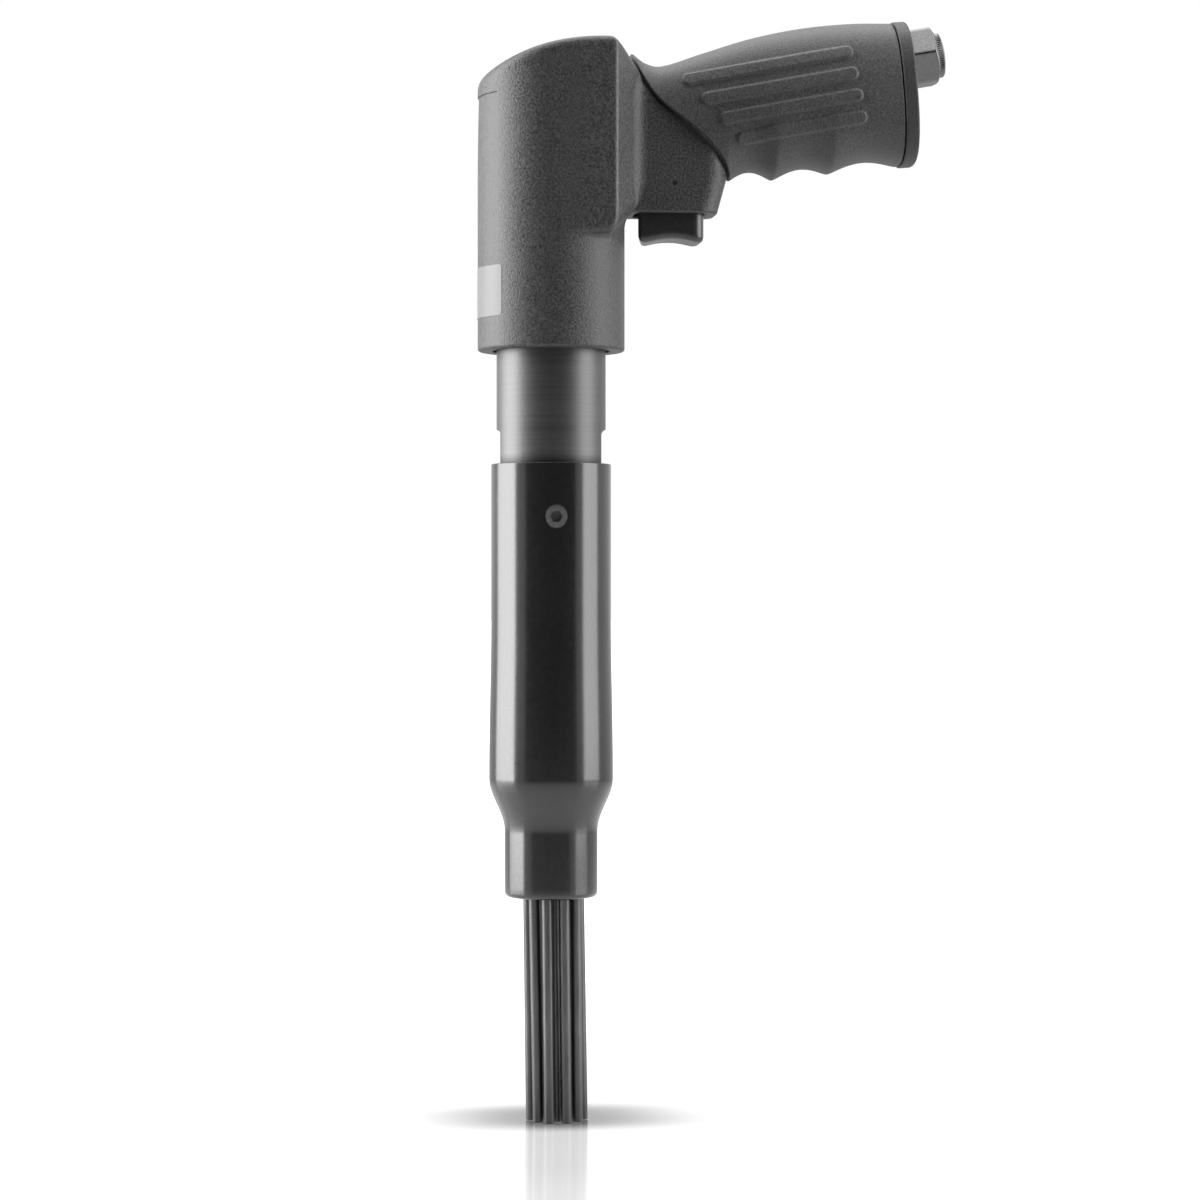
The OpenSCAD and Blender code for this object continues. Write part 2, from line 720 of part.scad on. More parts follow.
module inlet_screen() {
    color("silver") on_handle_axis(inlet_s) difference() {
        translate([0, 0, screen_z]) cylinder(screen_h, screen_r - run_fit, screen_r - run_fit);
        translate([0, 0, -far / 2]) around(6, inlet_through_r * 0.6) cylinder(far, 0.8, 0.8);
        translate([0, 0, -far / 2]) cylinder(far, 0.8, 0.8);
    }
}

module exhaust_silencer() {
    color("dimgray") intersection() {
        on_handle_axis(inlet_s - cap_h - silencer_len) translate([exhaust_drop, 0, 0])
            cylinder(silencer_len + 2 * cap_h, exhaust_r - push_fit, exhaust_r - push_fit);
        on_end_cap() translate([-far / 2, -far / 2, -far]) cube([far, far, far]);
    }
}

// Trigger and throttle

module trigger() {
    hollow_half = (trigger_len - trigger_round) / 2;
    hollow_r = (pow(hollow_half, 2) + pow(trigger_hollow, 2)) / (2 * trigger_hollow);
    color(gloss_black) difference() {
        intersection() {
            translate([trigger_x, 0, trigger_z]) linear_extrude(trigger_top - trigger_z)
                rounded_rectangle(trigger_len, 2 * trigger_half, trigger_round);
            translate([0, 0, trigger_z]) rotate([90, 0, 90]) linear_extrude(far)
                translate([0, (trigger_top - trigger_z) / 2 + 2])
                    rounded_rectangle(2 * trigger_half, trigger_top - trigger_z + 4, 3);
        }
        translate([trigger_x, 0, trigger_z + trigger_hollow - hollow_r]) rotate([90, 0, 0])
            cylinder(far, hollow_r, hollow_r, center = true);
        hull() for (z = [pin_z, pin_z - trigger_travel]) translate([trigger_x, 0, z]) rotate([90, 0, 0])
            cylinder(far, slot_half, slot_half, center = true, $fn = hull_fn);
    }
}

module trigger_pin() {
    length = 2 * neck_half - 2 * pin_sink;
    color(steel_grey) translate([trigger_x, 0, pin_z]) rotate([90, 0, 0])
        cylinder(length, pin_r, pin_r, center = true);
}

module throttle_seat() {
    guide_h = 3;
    color("#a58a52") translate([trigger_x, 0, 0]) difference() {
        translate([0, 0, pocket_top]) cylinder(seat_len, seat_r, seat_r);
        translate([0, 0, pocket_top - 1]) cylinder(far, stem_r + run_fit, stem_r + run_fit);
        translate([0, 0, pocket_top + guide_h]) cylinder(far, stem_r + 1.4, stem_r + 1.4);
        translate([0, 0, feed_z]) rotate([0, -90, 0]) cylinder(far, feed_r, feed_r);
    }
}

module throttle_valve() {
    color(steel_grey) translate([trigger_x, 0, 0]) {
        translate([0, 0, trigger_top + rest_gap]) cylinder(poppet_z - trigger_top, stem_r, stem_r);
        translate([0, 0, poppet_z]) cylinder(poppet_h, poppet_r, poppet_r);
        translate([0, 0, poppet_z]) cylinder(poppet_h + 2.5, pilot_r, pilot_r);
    }
}

module throttle_seal() {
    color("black") translate([trigger_x, 0, 0])
        ring(poppet_r, stem_r + push_fit, poppet_z - poppet_seal_h, poppet_seal_h);
}

module throttle_spring() {
    color("silver") translate([trigger_x, 0, 0])
        coil_spring(throttle_coil_r, throttle_wire, throttle_spring_z, throttle_spring_top,
            throttle_coils);
}

// Barrel and valve

module barrel() {
    color(steel_grey) difference() {
        union() {
            translate([0, 0, barrel_z]) cylinder(barrel_top - barrel_z, spigot_r, spigot_r);
            translate([0, 0, step_z]) cylinder(0.8, barrel_r - 0.8, barrel_r);
            translate([0, 0, step_z + 0.8]) cylinder(barrel_top - step_z - 0.8, barrel_r, barrel_r);
        }
        translate([0, 0, barrel_z - 1]) cylinder(far, bush_r, bush_r);
        translate([0, 0, bush_top]) cylinder(far, bore_r, bore_r);
        ring(far, screw_groove_r, screw_z - screw_d / 2 - 0.5, screw_d + 1);
        ring(far, seal_groove_r, seal_z - seal_r, 2 * seal_r);
        translate([0, 0, port_z]) around(4, 0, 45) rotate([0, 90, 0]) cylinder(far, port_r, port_r);
        valve_dowel_hole();
    }
}

module barrel_seal() {
    color("black") translate([0, 0, seal_z]) rotate_extrude()
        translate([(seal_groove_r + barrel_r) / 2, 0]) circle(seal_r);
}

dowel_r = 1;
dowel_len = 13;
dowel_place_r = (barrel_r + air_chamber_r) / 2 - 0.2;
module valve_dowel_hole() {
    rotate([0, 0, 180]) translate([dowel_place_r, 0, barrel_top - dowel_len / 2])
        cylinder(dowel_len + rest_gap, dowel_r + push_fit, dowel_r + push_fit);
}

module valve_dowel() {
    color("silver") rotate([0, 0, 180]) translate([dowel_place_r, 0, barrel_top - dowel_len / 2])
        cylinder(dowel_len, dowel_r, dowel_r);
}

module valve_seat() {
    color(steel_grey) difference() {
        translate([0, 0, barrel_top]) cylinder(valve_seat_h, barrel_r, barrel_r);
        translate([0, 0, barrel_top - 1]) around(6, disc_r - 3) cylinder(far, port_r, port_r);
        valve_dowel_hole();
    }
}

module valve_disc() {
    color("silver") ring(disc_r, 2, valve_cap_z + rest_gap, disc_h);
}

module valve_cap() {
    recess_h = disc_h + disc_travel + 2 * rest_gap;
    color(steel_grey) difference() {
        translate([0, 0, valve_cap_z]) cylinder(valve_cap_h, barrel_r, barrel_r);
        translate([0, 0, valve_cap_z - 1]) cylinder(recess_h + 1, disc_r + rest_gap, disc_r + rest_gap);
        translate([0, 0, valve_cap_z]) around(6, disc_r - 1.5) cylinder(far, port_r, port_r);
        valve_dowel_hole();
    }
}

module valve_gasket() {
    color("black") ring(barrel_r, air_chamber_r, valve_gasket_z, valve_gasket_h);
}

// Striker

module piston() {
    r = bore_r - run_fit;
    edge = 0.8;
    color("silver") translate([0, 0, piston_z]) difference() {
        rotate_extrude() polygon([
            [0, 0], [r - edge, 0], [r, edge],
            [r, piston_len * 0.45], [r - edge, piston_len * 0.45 + edge],
            [r - edge, piston_len * 0.55 - edge], [r, piston_len * 0.55],
            [r, piston_len - edge], [r - edge, piston_len], [0, piston_len]
        ]);
        translate([0, 0, piston_len - 10]) cylinder(far, bore_r * 0.4, bore_r * 0.4);
    }
}

module anvil() {
    edge = 0.6;
    color("silver") rotate_extrude() polygon([
        [0, anvil_z], [anvil_nose_r - edge, anvil_z], [anvil_nose_r, anvil_z + edge],
        [anvil_nose_r, flange_z], [flange_r, flange_z], [flange_r, flange_top],
        [shank_r, flange_top], [shank_r, anvil_top - edge], [shank_r - edge, anvil_top], [0, anvil_top]
    ]);
}

module anvil_bush() {
    color("#a58a52") ring(bush_r - run_fit / 2, shank_r + run_fit, barrel_z, bush_len);
}

module buffer_ring() {
    color("black") ring(spigot_r - 0.5, shank_r + 2 * rest_gap, buffer_z, buffer_h);
}

// Needles and tube

function needle_angle(i) = i < ring_count ? -90 + (i + 0.5) * 360 / ring_count
    : -90 + (i - ring_count) * 360 / core_count;
function needle_place(i) = let (r = i < ring_count ? needle_ring_r : needle_core_r)
    [r * cos(needle_angle(i)), r * sin(needle_angle(i)), 0];

module needle(i) {
    r = needle_d / 2;
    edge = 0.4;
    color(steel_grey) translate(needle_place(i)) rotate_extrude() polygon([
        [0, 0], [r - edge, 0], [r, edge], [r, head_seat_z], [needle_head_d / 2, head_seat_z],
        [needle_head_d / 2, needle_len - edge], [needle_head_d / 2 - edge, needle_len], [0, needle_len]
    ]);
}

module needle_holder() {
    hole_r = needle_d / 2 + needle_fit;
    color(steel_grey) difference() {
        translate([0, 0, holder_z]) cylinder(holder_top - holder_z, holder_r, holder_r);
        translate([0, 0, head_seat_z - rest_gap]) cylinder(far, cup_r, cup_r);
        for (i = [0:needle_count - 1]) translate(needle_place(i)) cylinder(far, hole_r, hole_r);
    }
}

module needle_spring() {
    lift = needle_wire / 2 + rest_gap;
    color("silver")
        coil_spring(spring_r, needle_wire, spring_seat_z + lift, holder_z - lift, needle_coils);
}

// Outside of the tube from the nose's lip to its top edge
function tube_outline() = concat(
    [for (a = [0:22.5:90])
        [nose_r - nose_round * (1 - sin(a)), needle_reach + nose_round * (1 - cos(a))]],
    [for (k = [0:12])
        [nose_r + (tube_r + tube_swell - nose_r) * ease(k / 12), shoulder_z + shoulder_len * k / 12]],
    [for (k = [1:4]) [tube_r + tube_swell * (1 - ease(k / 4)), shoulder_top + swell_len * k / 4]],
    [[tube_r, tube_top - 0.6], [tube_r - 0.6, tube_top]]
);

module needle_tube() {
    color(gloss_black) difference() {
        rotate_extrude() polygon(concat(
            [[nose_bore_r, needle_reach]],
            tube_outline(),
            [[tube_bore_r, tube_top], [tube_bore_r, spring_seat_z], [nose_bore_r, spring_seat_z]]
        ));
        translate([0, 0, screw_z]) rotate([90, 0, 0])
            cylinder(3 * tube_r, screw_d / 2 + push_fit, screw_d / 2 + push_fit, center = true);
    }
}

module set_screws() {
    socket_depth = 2.4;
    socket_r = screw_socket / 2 / cos(30);
    tip_r = screw_groove_r + rest_gap;
    color("#2b2c2e") for (side = [0, 180])
        rotate([0, 0, side]) translate([0, -tip_r, screw_z]) rotate([90, 0, 0]) difference() {
            cylinder(screw_face_r - tip_r, screw_d / 2, screw_d / 2);
            translate([0, 0, screw_face_r - tip_r - socket_depth])
                cylinder(far, socket_r, socket_r, $fn = 6);
        }
}

housing();
grip_sleeve();
end_cap();
inlet_bushing();
inlet_seal();
inlet_screen();
exhaust_silencer();
trigger();
trigger_pin();
throttle_valve();
throttle_seal();
throttle_seat();
throttle_spring();
barrel();
barrel_seal();
valve_seat();
valve_disc();
valve_cap();
valve_gasket();
valve_dowel();
piston();
anvil();
anvil_bush();
buffer_ring();
needle_holder();
needle_spring();
needle_tube();
set_screws();
for (i = [0:needle_count - 1]) needle(i);
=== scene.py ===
import json
import math
import bmesh
import bpy
import numpy as np
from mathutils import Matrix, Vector


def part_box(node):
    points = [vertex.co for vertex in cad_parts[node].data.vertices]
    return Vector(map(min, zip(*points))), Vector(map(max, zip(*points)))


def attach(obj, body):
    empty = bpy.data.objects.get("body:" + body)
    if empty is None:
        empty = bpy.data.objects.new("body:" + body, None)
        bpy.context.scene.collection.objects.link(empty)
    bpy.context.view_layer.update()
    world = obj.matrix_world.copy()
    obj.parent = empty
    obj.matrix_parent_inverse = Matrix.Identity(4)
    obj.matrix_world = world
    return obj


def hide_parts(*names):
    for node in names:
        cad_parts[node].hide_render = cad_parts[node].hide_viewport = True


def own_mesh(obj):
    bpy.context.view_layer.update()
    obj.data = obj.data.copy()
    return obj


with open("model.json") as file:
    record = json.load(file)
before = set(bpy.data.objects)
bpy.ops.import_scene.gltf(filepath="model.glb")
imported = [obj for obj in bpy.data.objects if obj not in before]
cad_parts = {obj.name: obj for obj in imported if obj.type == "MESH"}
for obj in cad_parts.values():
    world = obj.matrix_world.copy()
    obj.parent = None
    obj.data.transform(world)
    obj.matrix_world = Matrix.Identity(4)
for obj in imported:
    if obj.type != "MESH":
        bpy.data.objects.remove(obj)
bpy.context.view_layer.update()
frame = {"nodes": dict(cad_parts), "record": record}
mm = 0.001

# the tool's main lines in millimetres, as in the frame
tool = {
    "bodyZ": 284.5, "topZ": 397.9, "bodyR": 27.2,
    "axisZ": 371.153, "tilt": math.radians(10), "handleEnd": 128.9,
    "capTilt": math.radians(4.6), "capZ": 381.432, "capHalf": 26.5355,
    "inletS": 134.908, "spotDepth": 1.2755,
    "triggerX": 44.5, "blockZ": 335.3, "pinZ": 346.3,
}
print("frame loaded")


# Meshes

def buildMesh(name, points, quads, normals=None, sharpAngle=None, weld=False):
    # points in millimetres, four indices a face
    mesh = bpy.data.meshes.new(name)
    mesh.vertices.add(len(points))
    mesh.vertices.foreach_set("co", (np.asarray(points) * mm).astype(np.float32).ravel())
    mesh.loops.add(quads.size)
    mesh.loops.foreach_set("vertex_index", quads.astype(np.int32).ravel())
    mesh.polygons.add(len(quads))
    mesh.polygons.foreach_set("loop_start", (np.arange(len(quads)) * 4).astype(np.int32))
    mesh.update(calc_edges=True)
    mesh.validate()
    if weld:
        work = bmesh.new()
        work.from_mesh(mesh)
        bmesh.ops.remove_doubles(work, verts=work.verts, dist=1e-6)
        bmesh.ops.recalc_face_normals(work, faces=work.faces)
        work.to_mesh(mesh)
        work.free()
    mesh.polygons.foreach_set("use_smooth", np.ones(len(mesh.polygons), dtype=bool))
    if normals is not None:
        mesh.normals_split_custom_set_from_vertices(normals.tolist())
    if sharpAngle is not None:
        mesh.set_sharp_from_angle(angle=math.radians(sharpAngle))
    piece = bpy.data.objects.new(name, mesh)
    bpy.context.scene.collection.objects.link(piece)
    return piece


def gridQuads(rows, columns, wrapRows=False):
    # the four corners of each cell of a grid whose columns run round
    i, j = np.meshgrid(np.arange(rows if wrapRows else rows - 1), np.arange(columns), indexing="ij")
    up, along = (i + 1) % rows, (j + 1) % columns
    corners = [i * columns + j, i * columns + along, up * columns + along, up * columns + j]
    return np.stack(corners, -1).reshape(-1, 4)


def gridPiece(name, surface, wrapRows=False, **how):
    # a piece from an array of rows by columns of points
    return buildMesh(name, surface.reshape(-1, 3), gridQuads(*surface.shape[:2], wrapRows), **how)


def softCorners(corners, closed=False, samples=6):
    # each corner (a, b, radius) becomes a short arc: a quadratic curve from one side of it to the other
    pts = np.array([c[:2] for c in corners], float)
    radii = np.array([c[2] for c in corners], float)
    before, after = np.roll(pts, 1, 0) - pts, np.roll(pts, -1, 0) - pts
    lineA, lineB = np.linalg.norm(before, axis=1), np.linalg.norm(after, axis=1)
    reach = np.minimum(radii, 0.49 * np.minimum(lineA, lineB))  # two arcs never meet on one side
    if not closed:
        reach[[0, -1]] = 0
    start = pts + before / lineA[:, None] * reach[:, None]
    end = pts + after / lineB[:, None] * reach[:, None]
    t = np.linspace(0, 1, samples)[None, :, None]
    arcs = start[:, None] * (1 - t) ** 2 + 2 * pts[:, None] * t * (1 - t) + end[:, None] * t ** 2
    keep = (reach[:, None] > 0) | (np.arange(samples)[None] == 0)
    return arcs[keep]


def runLength(line):
    # distance along a line of points, from its first one
    return np.concatenate([[0], np.cumsum(np.linalg.norm(np.diff(line, axis=0), axis=1))])


def lathe(profile, sides, closed):
    # a profile of radius and height, turned about the tool axis
    angle = np.linspace(0, 2 * np.pi, sides, endpoint=False)
    r, z = np.asarray(profile).T
    points = np.stack([r[:, None] * np.cos(angle), r[:, None] * np.sin(angle), z[:, None] + 0 * angle], -1)
    return points.reshape(-1, 3), gridQuads(len(r), sides, closed)


def ease(u):
    # half a cosine wave, from 0 to 1
    return (1 - np.cos(np.pi * np.clip(u, 0, 1))) / 2


def smoothMin(a, b, width):
    # lesser of two distances, with a round blend of the given width where they are alike
    share = np.clip(0.5 + 0.5 * (b - a) / width, 0, 1)
    return b + (a - b) * share - width * share * (1 - share)


def smoothMax(a, b, width):
    return -smoothMin(-a, -b, width)


def fieldSlope(field, points, step=0.02):
    shifts = np.eye(3) * step
    return np.stack([field(*(points + s).T) - field(*(points - s).T) for s in shifts], 1) / (2 * step)


def gridLine(*marks):
    # places along one axis from (start, step) marks; the last mark is the end
    ends = [m[0] for m in marks[1:-1]] + [marks[-1]]
    runs = [np.linspace(a, b, max(2, round((b - a) / d) + 1))[:-1] for (a, d), b in zip(marks[:-1], ends)]
    return np.concatenate(runs + [[marks[-1]]])


def netSurface(field, *axes, rounds=4, furthest=0.3, leastSlope=0.1):
    # the surface where a field of distances is zero: each grid cell that it crosses gives one point at
    # the mean of its edge crossings, the cells round an edge give a face, and a few Newton steps put
    # the points on the surface
    value = field(*np.meshgrid(*axes, indexing="ij"))
    cells = tuple(n - 1 for n in value.shape)
    count = np.zeros(int(np.prod(cells)))
    total = np.zeros((len(count), 3))
    faces = []
    for axis in range(3):
        a = value[tuple(slice(0, -1) if k == axis else slice(None) for k in range(3))]
        b = value[tuple(slice(1, None) if k == axis else slice(None) for k in range(3))]
        at = np.argwhere((a < 0) != (b < 0))
        others = [k for k in range(3) if k != axis]
        at = at[np.all([(at[:, k] > 0) & (at[:, k] < cells[k]) for k in others], axis=0)]
        valueA, valueB = a[tuple(at.T)], b[tuple(at.T)]
        crossing = np.stack([axes[k][at[:, k]] for k in range(3)], 1)
        crossing[:, axis] += (axes[axis][at[:, axis] + 1] - crossing[:, axis]) * valueA / (valueA - valueB)
        ring = []
        for stepU, stepV in ((-1, -1), (0, -1), (0, 0), (-1, 0)):
            cell = at.copy()
            cell[:, others[0]] += stepU
            cell[:, others[1]] += stepV
            number = np.ravel_multi_index(cell.T, cells)
            count += np.bincount(number, minlength=len(count))
            for k in range(3):
                total[:, k] += np.bincount(number, crossing[:, k], minlength=len(count))
            ring.append(number)
        quad = np.stack(ring, 1)
        turned = (valueA < 0) == (axis == 1)
        quad[turned] = quad[turned][:, ::-1]
        faces.append(quad)
    quads = np.concatenate(faces)
    used = np.unique(quads)
    index = np.full(len(count), -1)
    index[used] = np.arange(len(used))
    points = total[used] / count[used, None]
    for _ in range(rounds):
        slope = fieldSlope(field, points)
        move = slope * (field(*points.T) / np.maximum((slope ** 2).sum(1), leastSlope))[:, None]
        points = points - np.clip(move, -furthest, furthest)
    slope = fieldSlope(field, points)
    steepness = np.linalg.norm(slope, axis=1, keepdims=True)
    return points, index[quads], slope / np.maximum(steepness, 1e-6)


# Materials: each finish is a Principled shader with colour, roughness and bump from noise in object space

noiseRange = (0.3, 0.7)  # most values of the noise lie here


def setInputs(node, values):
    for socket, value in values.items():
        node.inputs[socket].default_value = value


def finish(name, look):
    # grain and cloud are sizes in millimetres, bumpDepth too; the painted shade towards the low end is two
    # heights in metres and the share of colour kept at the lower one
    material = bpy.data.materials.new(name)
    material.use_nodes = True
    nodes, links = material.node_tree.nodes, material.node_tree.links
    shader = nodes["Principled BSDF"]
    setInputs(shader, look.get("set", {}))
    where = nodes.new("ShaderNodeTexCoord")
    stretch = nodes.new("ShaderNodeMapping")
    setInputs(stretch, {"Scale": look.get("stretch", (1, 1, 1))})
    links.new(where.outputs["Object"], stretch.inputs["Vector"])

    def noise(size, detail):
        made = nodes.new("ShaderNodeTexNoise")
        setInputs(made, {"Scale": 1000 / size, "Detail": detail, "Roughness": 0.6})
        links.new(stretch.outputs["Vector"], made.inputs["Vector"])
        return made

    grain = noise(look["grain"], 3)
    cloud = noise(look.get("cloud", 14), 4)
    both = nodes.new("ShaderNodeMix")
    setInputs(both, {"Factor": look.get("cloudShare", 0.35)})
    links.new(grain.outputs["Fac"], both.inputs["A"])
    links.new(cloud.outputs["Fac"], both.inputs["B"])
    ramp = nodes.new("ShaderNodeValToRGB")
    for stop, position, tone in zip(ramp.color_ramp.elements, noiseRange, (look["dark"], look["light"])):
        stop.position = position
        stop.color = (*tone, 1)
    links.new(both.outputs["Result"], ramp.inputs["Fac"])
    colour = ramp.outputs["Color"]
    if "paintedShadeLow" in look:
        # painted shade: darker towards the low end of the piece
        height = nodes.new("ShaderNodeSeparateXYZ")
        links.new(where.outputs["Object"], height.inputs["Vector"])
        shadeRange = nodes.new("ShaderNodeMapRange")
        setInputs(shadeRange, dict(zip(("From Min", "From Max", "To Min"), look["paintedShadeLow"])))
        links.new(height.outputs["Z"], shadeRange.inputs["Value"])
        shade = nodes.new("ShaderNodeMix")
        shade.data_type = "RGBA"
        shade.blend_type = "MULTIPLY"
        setInputs(shade, {"Factor": 1.0})
        links.new(colour, shade.inputs[6])  # sockets 6 and 7 are the node's colours A and B
        links.new(shadeRange.outputs["Result"], shade.inputs[7])
        colour = shade.outputs[2]
    if "paintedCornerHighlight" in look:
        # painted highlight: paler along the corner that the piece's own attribute marks
        highlightAttribute = nodes.new("ShaderNodeAttribute")
        highlightAttribute.attribute_name = "cornerHighlightPaint"
        highlightMix = nodes.new("ShaderNodeMix")
        highlightMix.data_type = "RGBA"
        links.new(highlightAttribute.outputs["Fac"], highlightMix.inputs["Factor"])
        links.new(colour, highlightMix.inputs[6])
        setInputs(highlightMix, {7: (*look["paintedCornerHighlight"], 1)})
        colour = highlightMix.outputs[2]
    links.new(colour, shader.inputs["Base Color"])
    rough = nodes.new("ShaderNodeMapRange")
    setInputs(rough, dict(zip(("From Min", "From Max", "To Min", "To Max"), noiseRange + look["rough"])))
    links.new(both.outputs["Result"], rough.inputs["Value"])
    links.new(rough.outputs["Result"], shader.inputs["Roughness"])
    bump = nodes.new("ShaderNodeBump")
    setInputs(bump, {"Strength": look.get("bump", 0.2), "Distance": look.get("bumpDepth", 0.1) * mm})
    links.new(grain.outputs["Fac"], bump.inputs["Height"])
    links.new(bump.outputs["Normal"], shader.inputs["Normal"])
    return material


def grey(level):
    return (level, level, level)


# the paler corner colour is a painted highlight along the corner between cheek and bevel
powderCoat = finish("powderCoat", {
    "dark": grey(0.020), "light": grey(0.134), "rough": (0.34, 0.66), "grain": 0.75, "cloud": 9,
    "cloudShare": 0.1, "bump": 1.0, "bumpDepth": 0.2, "paintedCornerHighlight": grey(0.125), "set": {"Metallic": 0.3}})
gripRubber = finish("gripRubber", {
    "dark": grey(0.046), "light": grey(0.166), "rough": (0.38, 0.66), "grain": 0.62, "cloud": 16,
    "cloudShare": 0.1, "bump": 0.9, "bumpDepth": 0.15, "set": {"Specular IOR Level": 0.4}})
capPlastic = finish("capPlastic", {
    "dark": grey(0.036), "light": grey(0.088), "rough": (0.48, 0.6), "grain": 0.7, "bump": 0.6,
    "bumpDepth": 0.2, "set": {"Specular IOR Level": 0.4}})
tubePaint = finish("tubePaint", {
    "dark": grey(0.019), "light": grey(0.026), "rough": (0.15, 0.21), "grain": 2.2, "cloud": 30,
    "bump": 0.03, "bumpDepth": 0.05, "set": {"IOR": 1.6}})
# its low end, where it stands in the tube's rim, is darkened with painted shade
barrelSteel = finish("barrelSteel", {
    "dark": grey(0.086), "light": grey(0.124), "rough": (0.38, 0.48), "grain": 1.4, "cloud": 20,
    "stretch": (0.04, 0.04, 2.4), "paintedShadeLow": (0.2428, 0.2462, 0.3), "bump": 0.05, "bumpDepth": 0.04,
    "set": {"Metallic": 0.65}})
# the lower part towards the tips is darkened with painted shade near the floor
needleSteel = finish("needleSteel", {
    "dark": grey(0.064), "light": grey(0.135), "rough": (0.36, 0.5), "grain": 1.2, "cloud": 12,
    "stretch": (1, 1, 0.08), "paintedShadeLow": (0.0, 0.034, 0.55), "bump": 0.06, "bumpDepth": 0.04,
    "set": {"Metallic": 1.0}})
platedSteel = finish("platedSteel", {
    "dark": grey(0.13), "light": grey(0.18), "rough": (0.22, 0.32), "grain": 0.9, "cloud": 8,
    "bump": 0.05, "bumpDepth": 0.04, "set": {"Metallic": 1.0}})
triggerBlack = finish("triggerBlack", {
    "dark": grey(0.035), "light": grey(0.046), "rough": (0.22, 0.3), "grain": 1.5, "cloud": 10,
    "bump": 0.05, "bumpDepth": 0.05, "set": {"Specular IOR Level": 0.5}})
screwBlack = finish("screwBlack", {
    "dark": grey(0.20), "light": grey(0.30), "rough": (0.34, 0.46), "grain": 0.8, "bump": 0.1,
    "bumpDepth": 0.05, "set": {"Metallic": 0.6}})
hardSteel = finish("hardSteel", {
    "dark": grey(0.34), "light": grey(0.48), "rough": (0.24, 0.36), "grain": 1.0, "bump": 0.06,
    "bumpDepth": 0.04, "set": {"Metallic": 1.0}})
springSteel = finish("springSteel", {
    "dark": grey(0.2), "light": grey(0.32), "rough": (0.28, 0.4), "grain": 0.8, "bump": 0.05,
    "set": {"Metallic": 1.0}})
guideBrass = finish("guideBrass", {
    "dark": (0.46, 0.32, 0.12), "light": (0.62, 0.46, 0.2), "rough": (0.26, 0.4), "grain": 1.0,
    "bump": 0.05, "set": {"Metallic": 1.0}})
sealRubber = finish("sealRubber", {
    "dark": grey(0.012), "light": grey(0.022), "rough": (0.55, 0.7), "grain": 0.7, "bump": 0.2})
silencerFelt = finish("silencerFelt", {
    "dark": (0.1, 0.095, 0.085), "light": (0.24, 0.23, 0.21), "rough": (0.85, 0.95), "grain": 0.5,
    "bump": 0.8, "bumpDepth": 0.3})
labelPaper = finish("labelPaper", {
    "dark": grey(0.175), "light": grey(0.205), "rough": (0.4, 0.5), "grain": 0.6, "bump": 0.05})

slotFinish = {
    "casting": powderCoat, "grip_rubber": gripRubber, "cap_plastic": capPlastic, "plated_steel": platedSteel,
    "seal_rubber": sealRubber, "felt": silencerFelt, "trigger_black": triggerBlack, "hard_steel": hardSteel,
    "spring_steel": springSteel, "brass": guideBrass, "barrel_steel": barrelSteel, "tube_black": tubePaint,
    "screw_black": screwBlack, "needle_steel": needleSteel,
}
for part in frame["record"]["subparts"]:
    solid = frame["nodes"][part["node"]]
    solid.data.materials.clear()
    solid.data.materials.append(slotFinish[part["material_slot"]])
print("finishes made")


def place(piece, material, body, slot, *nodes):
    piece.data.materials.append(material)
    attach(piece, body)
    if nodes:
        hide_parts(*nodes)
    print(piece.name, len(piece.data.polygons), "faces")


# Camera: level, a little to the left of square-on

view = {"turn": math.radians(6), "away": 1200, "aside": 18.1, "height": 192.6, "lens": 97.2, "sensor": 36,
        "farthest": 50}
ahead = np.array([math.sin(view["turn"]), math.cos(view["turn"]), 0])
aside = np.array([math.cos(view["turn"]), -math.sin(view["turn"]), 0])
camera = bpy.data.objects.new("camera", bpy.data.cameras.new("camera"))
camera.location = (aside * view["aside"] - ahead * view["away"] + [0, 0, view["height"]]) * mm
camera.rotation_euler = (math.pi / 2, 0, -view["turn"])
camera.data.lens = view["lens"]
camera.data.sensor_width = view["sensor"]
camera.data.clip_end = view["farthest"]
bpy.context.scene.collection.objects.link(camera)
bpy.context.scene.camera = camera


# Grip: superellipse sections along the tilted handle axis, with finger grooves, ribs and rolled edges

grip = {
    "tipX": 29.7, "lowX": 66.4, "bow": 0.9, "sway": 5.8, "capGap": 0.3,  # front edge and back edge
    "power": 2.5, "lowPower": 2.1, "roundRun": 55, "frontHalf": 13.7, "backHalf": 20.5,
    "frontDrop": 33.9, "backDrop": 38.9, "grooves": [4.3, 3.2, 3.2],
    "ridges": [0.345, 0.535, 0.748, 1.013], "ridgeSoft": 0.012, "ridgeCut": 0.11,
    "crown": [(0, 18.9), (0.05, 14.4), (0.11, 12.3), (0.26, 14.5), (0.44, 17.1), (0.625, 17.9),
              (0.81, 16.8), (1, 14)],
    "ribs": 4, "ribW": 4.4, "ribH": 0.8, "ribFlank": 0.55, "ribPitch": 8.2, "ribTop": 4.2,
    "ribFront": (49.2, 5.3), "ribBack": (112.2, 0.3),  # first rib's end and the step to the next
    "frontRoll": 0.5, "backRoll": 0.7, "rollDepth": 2.6, "frontSteps": [1.7, 1.0], "backSteps": [1.1, 1.8],
    "rollRows": 9, "rows": 240, "innerRows": 24, "columns": 330,
}


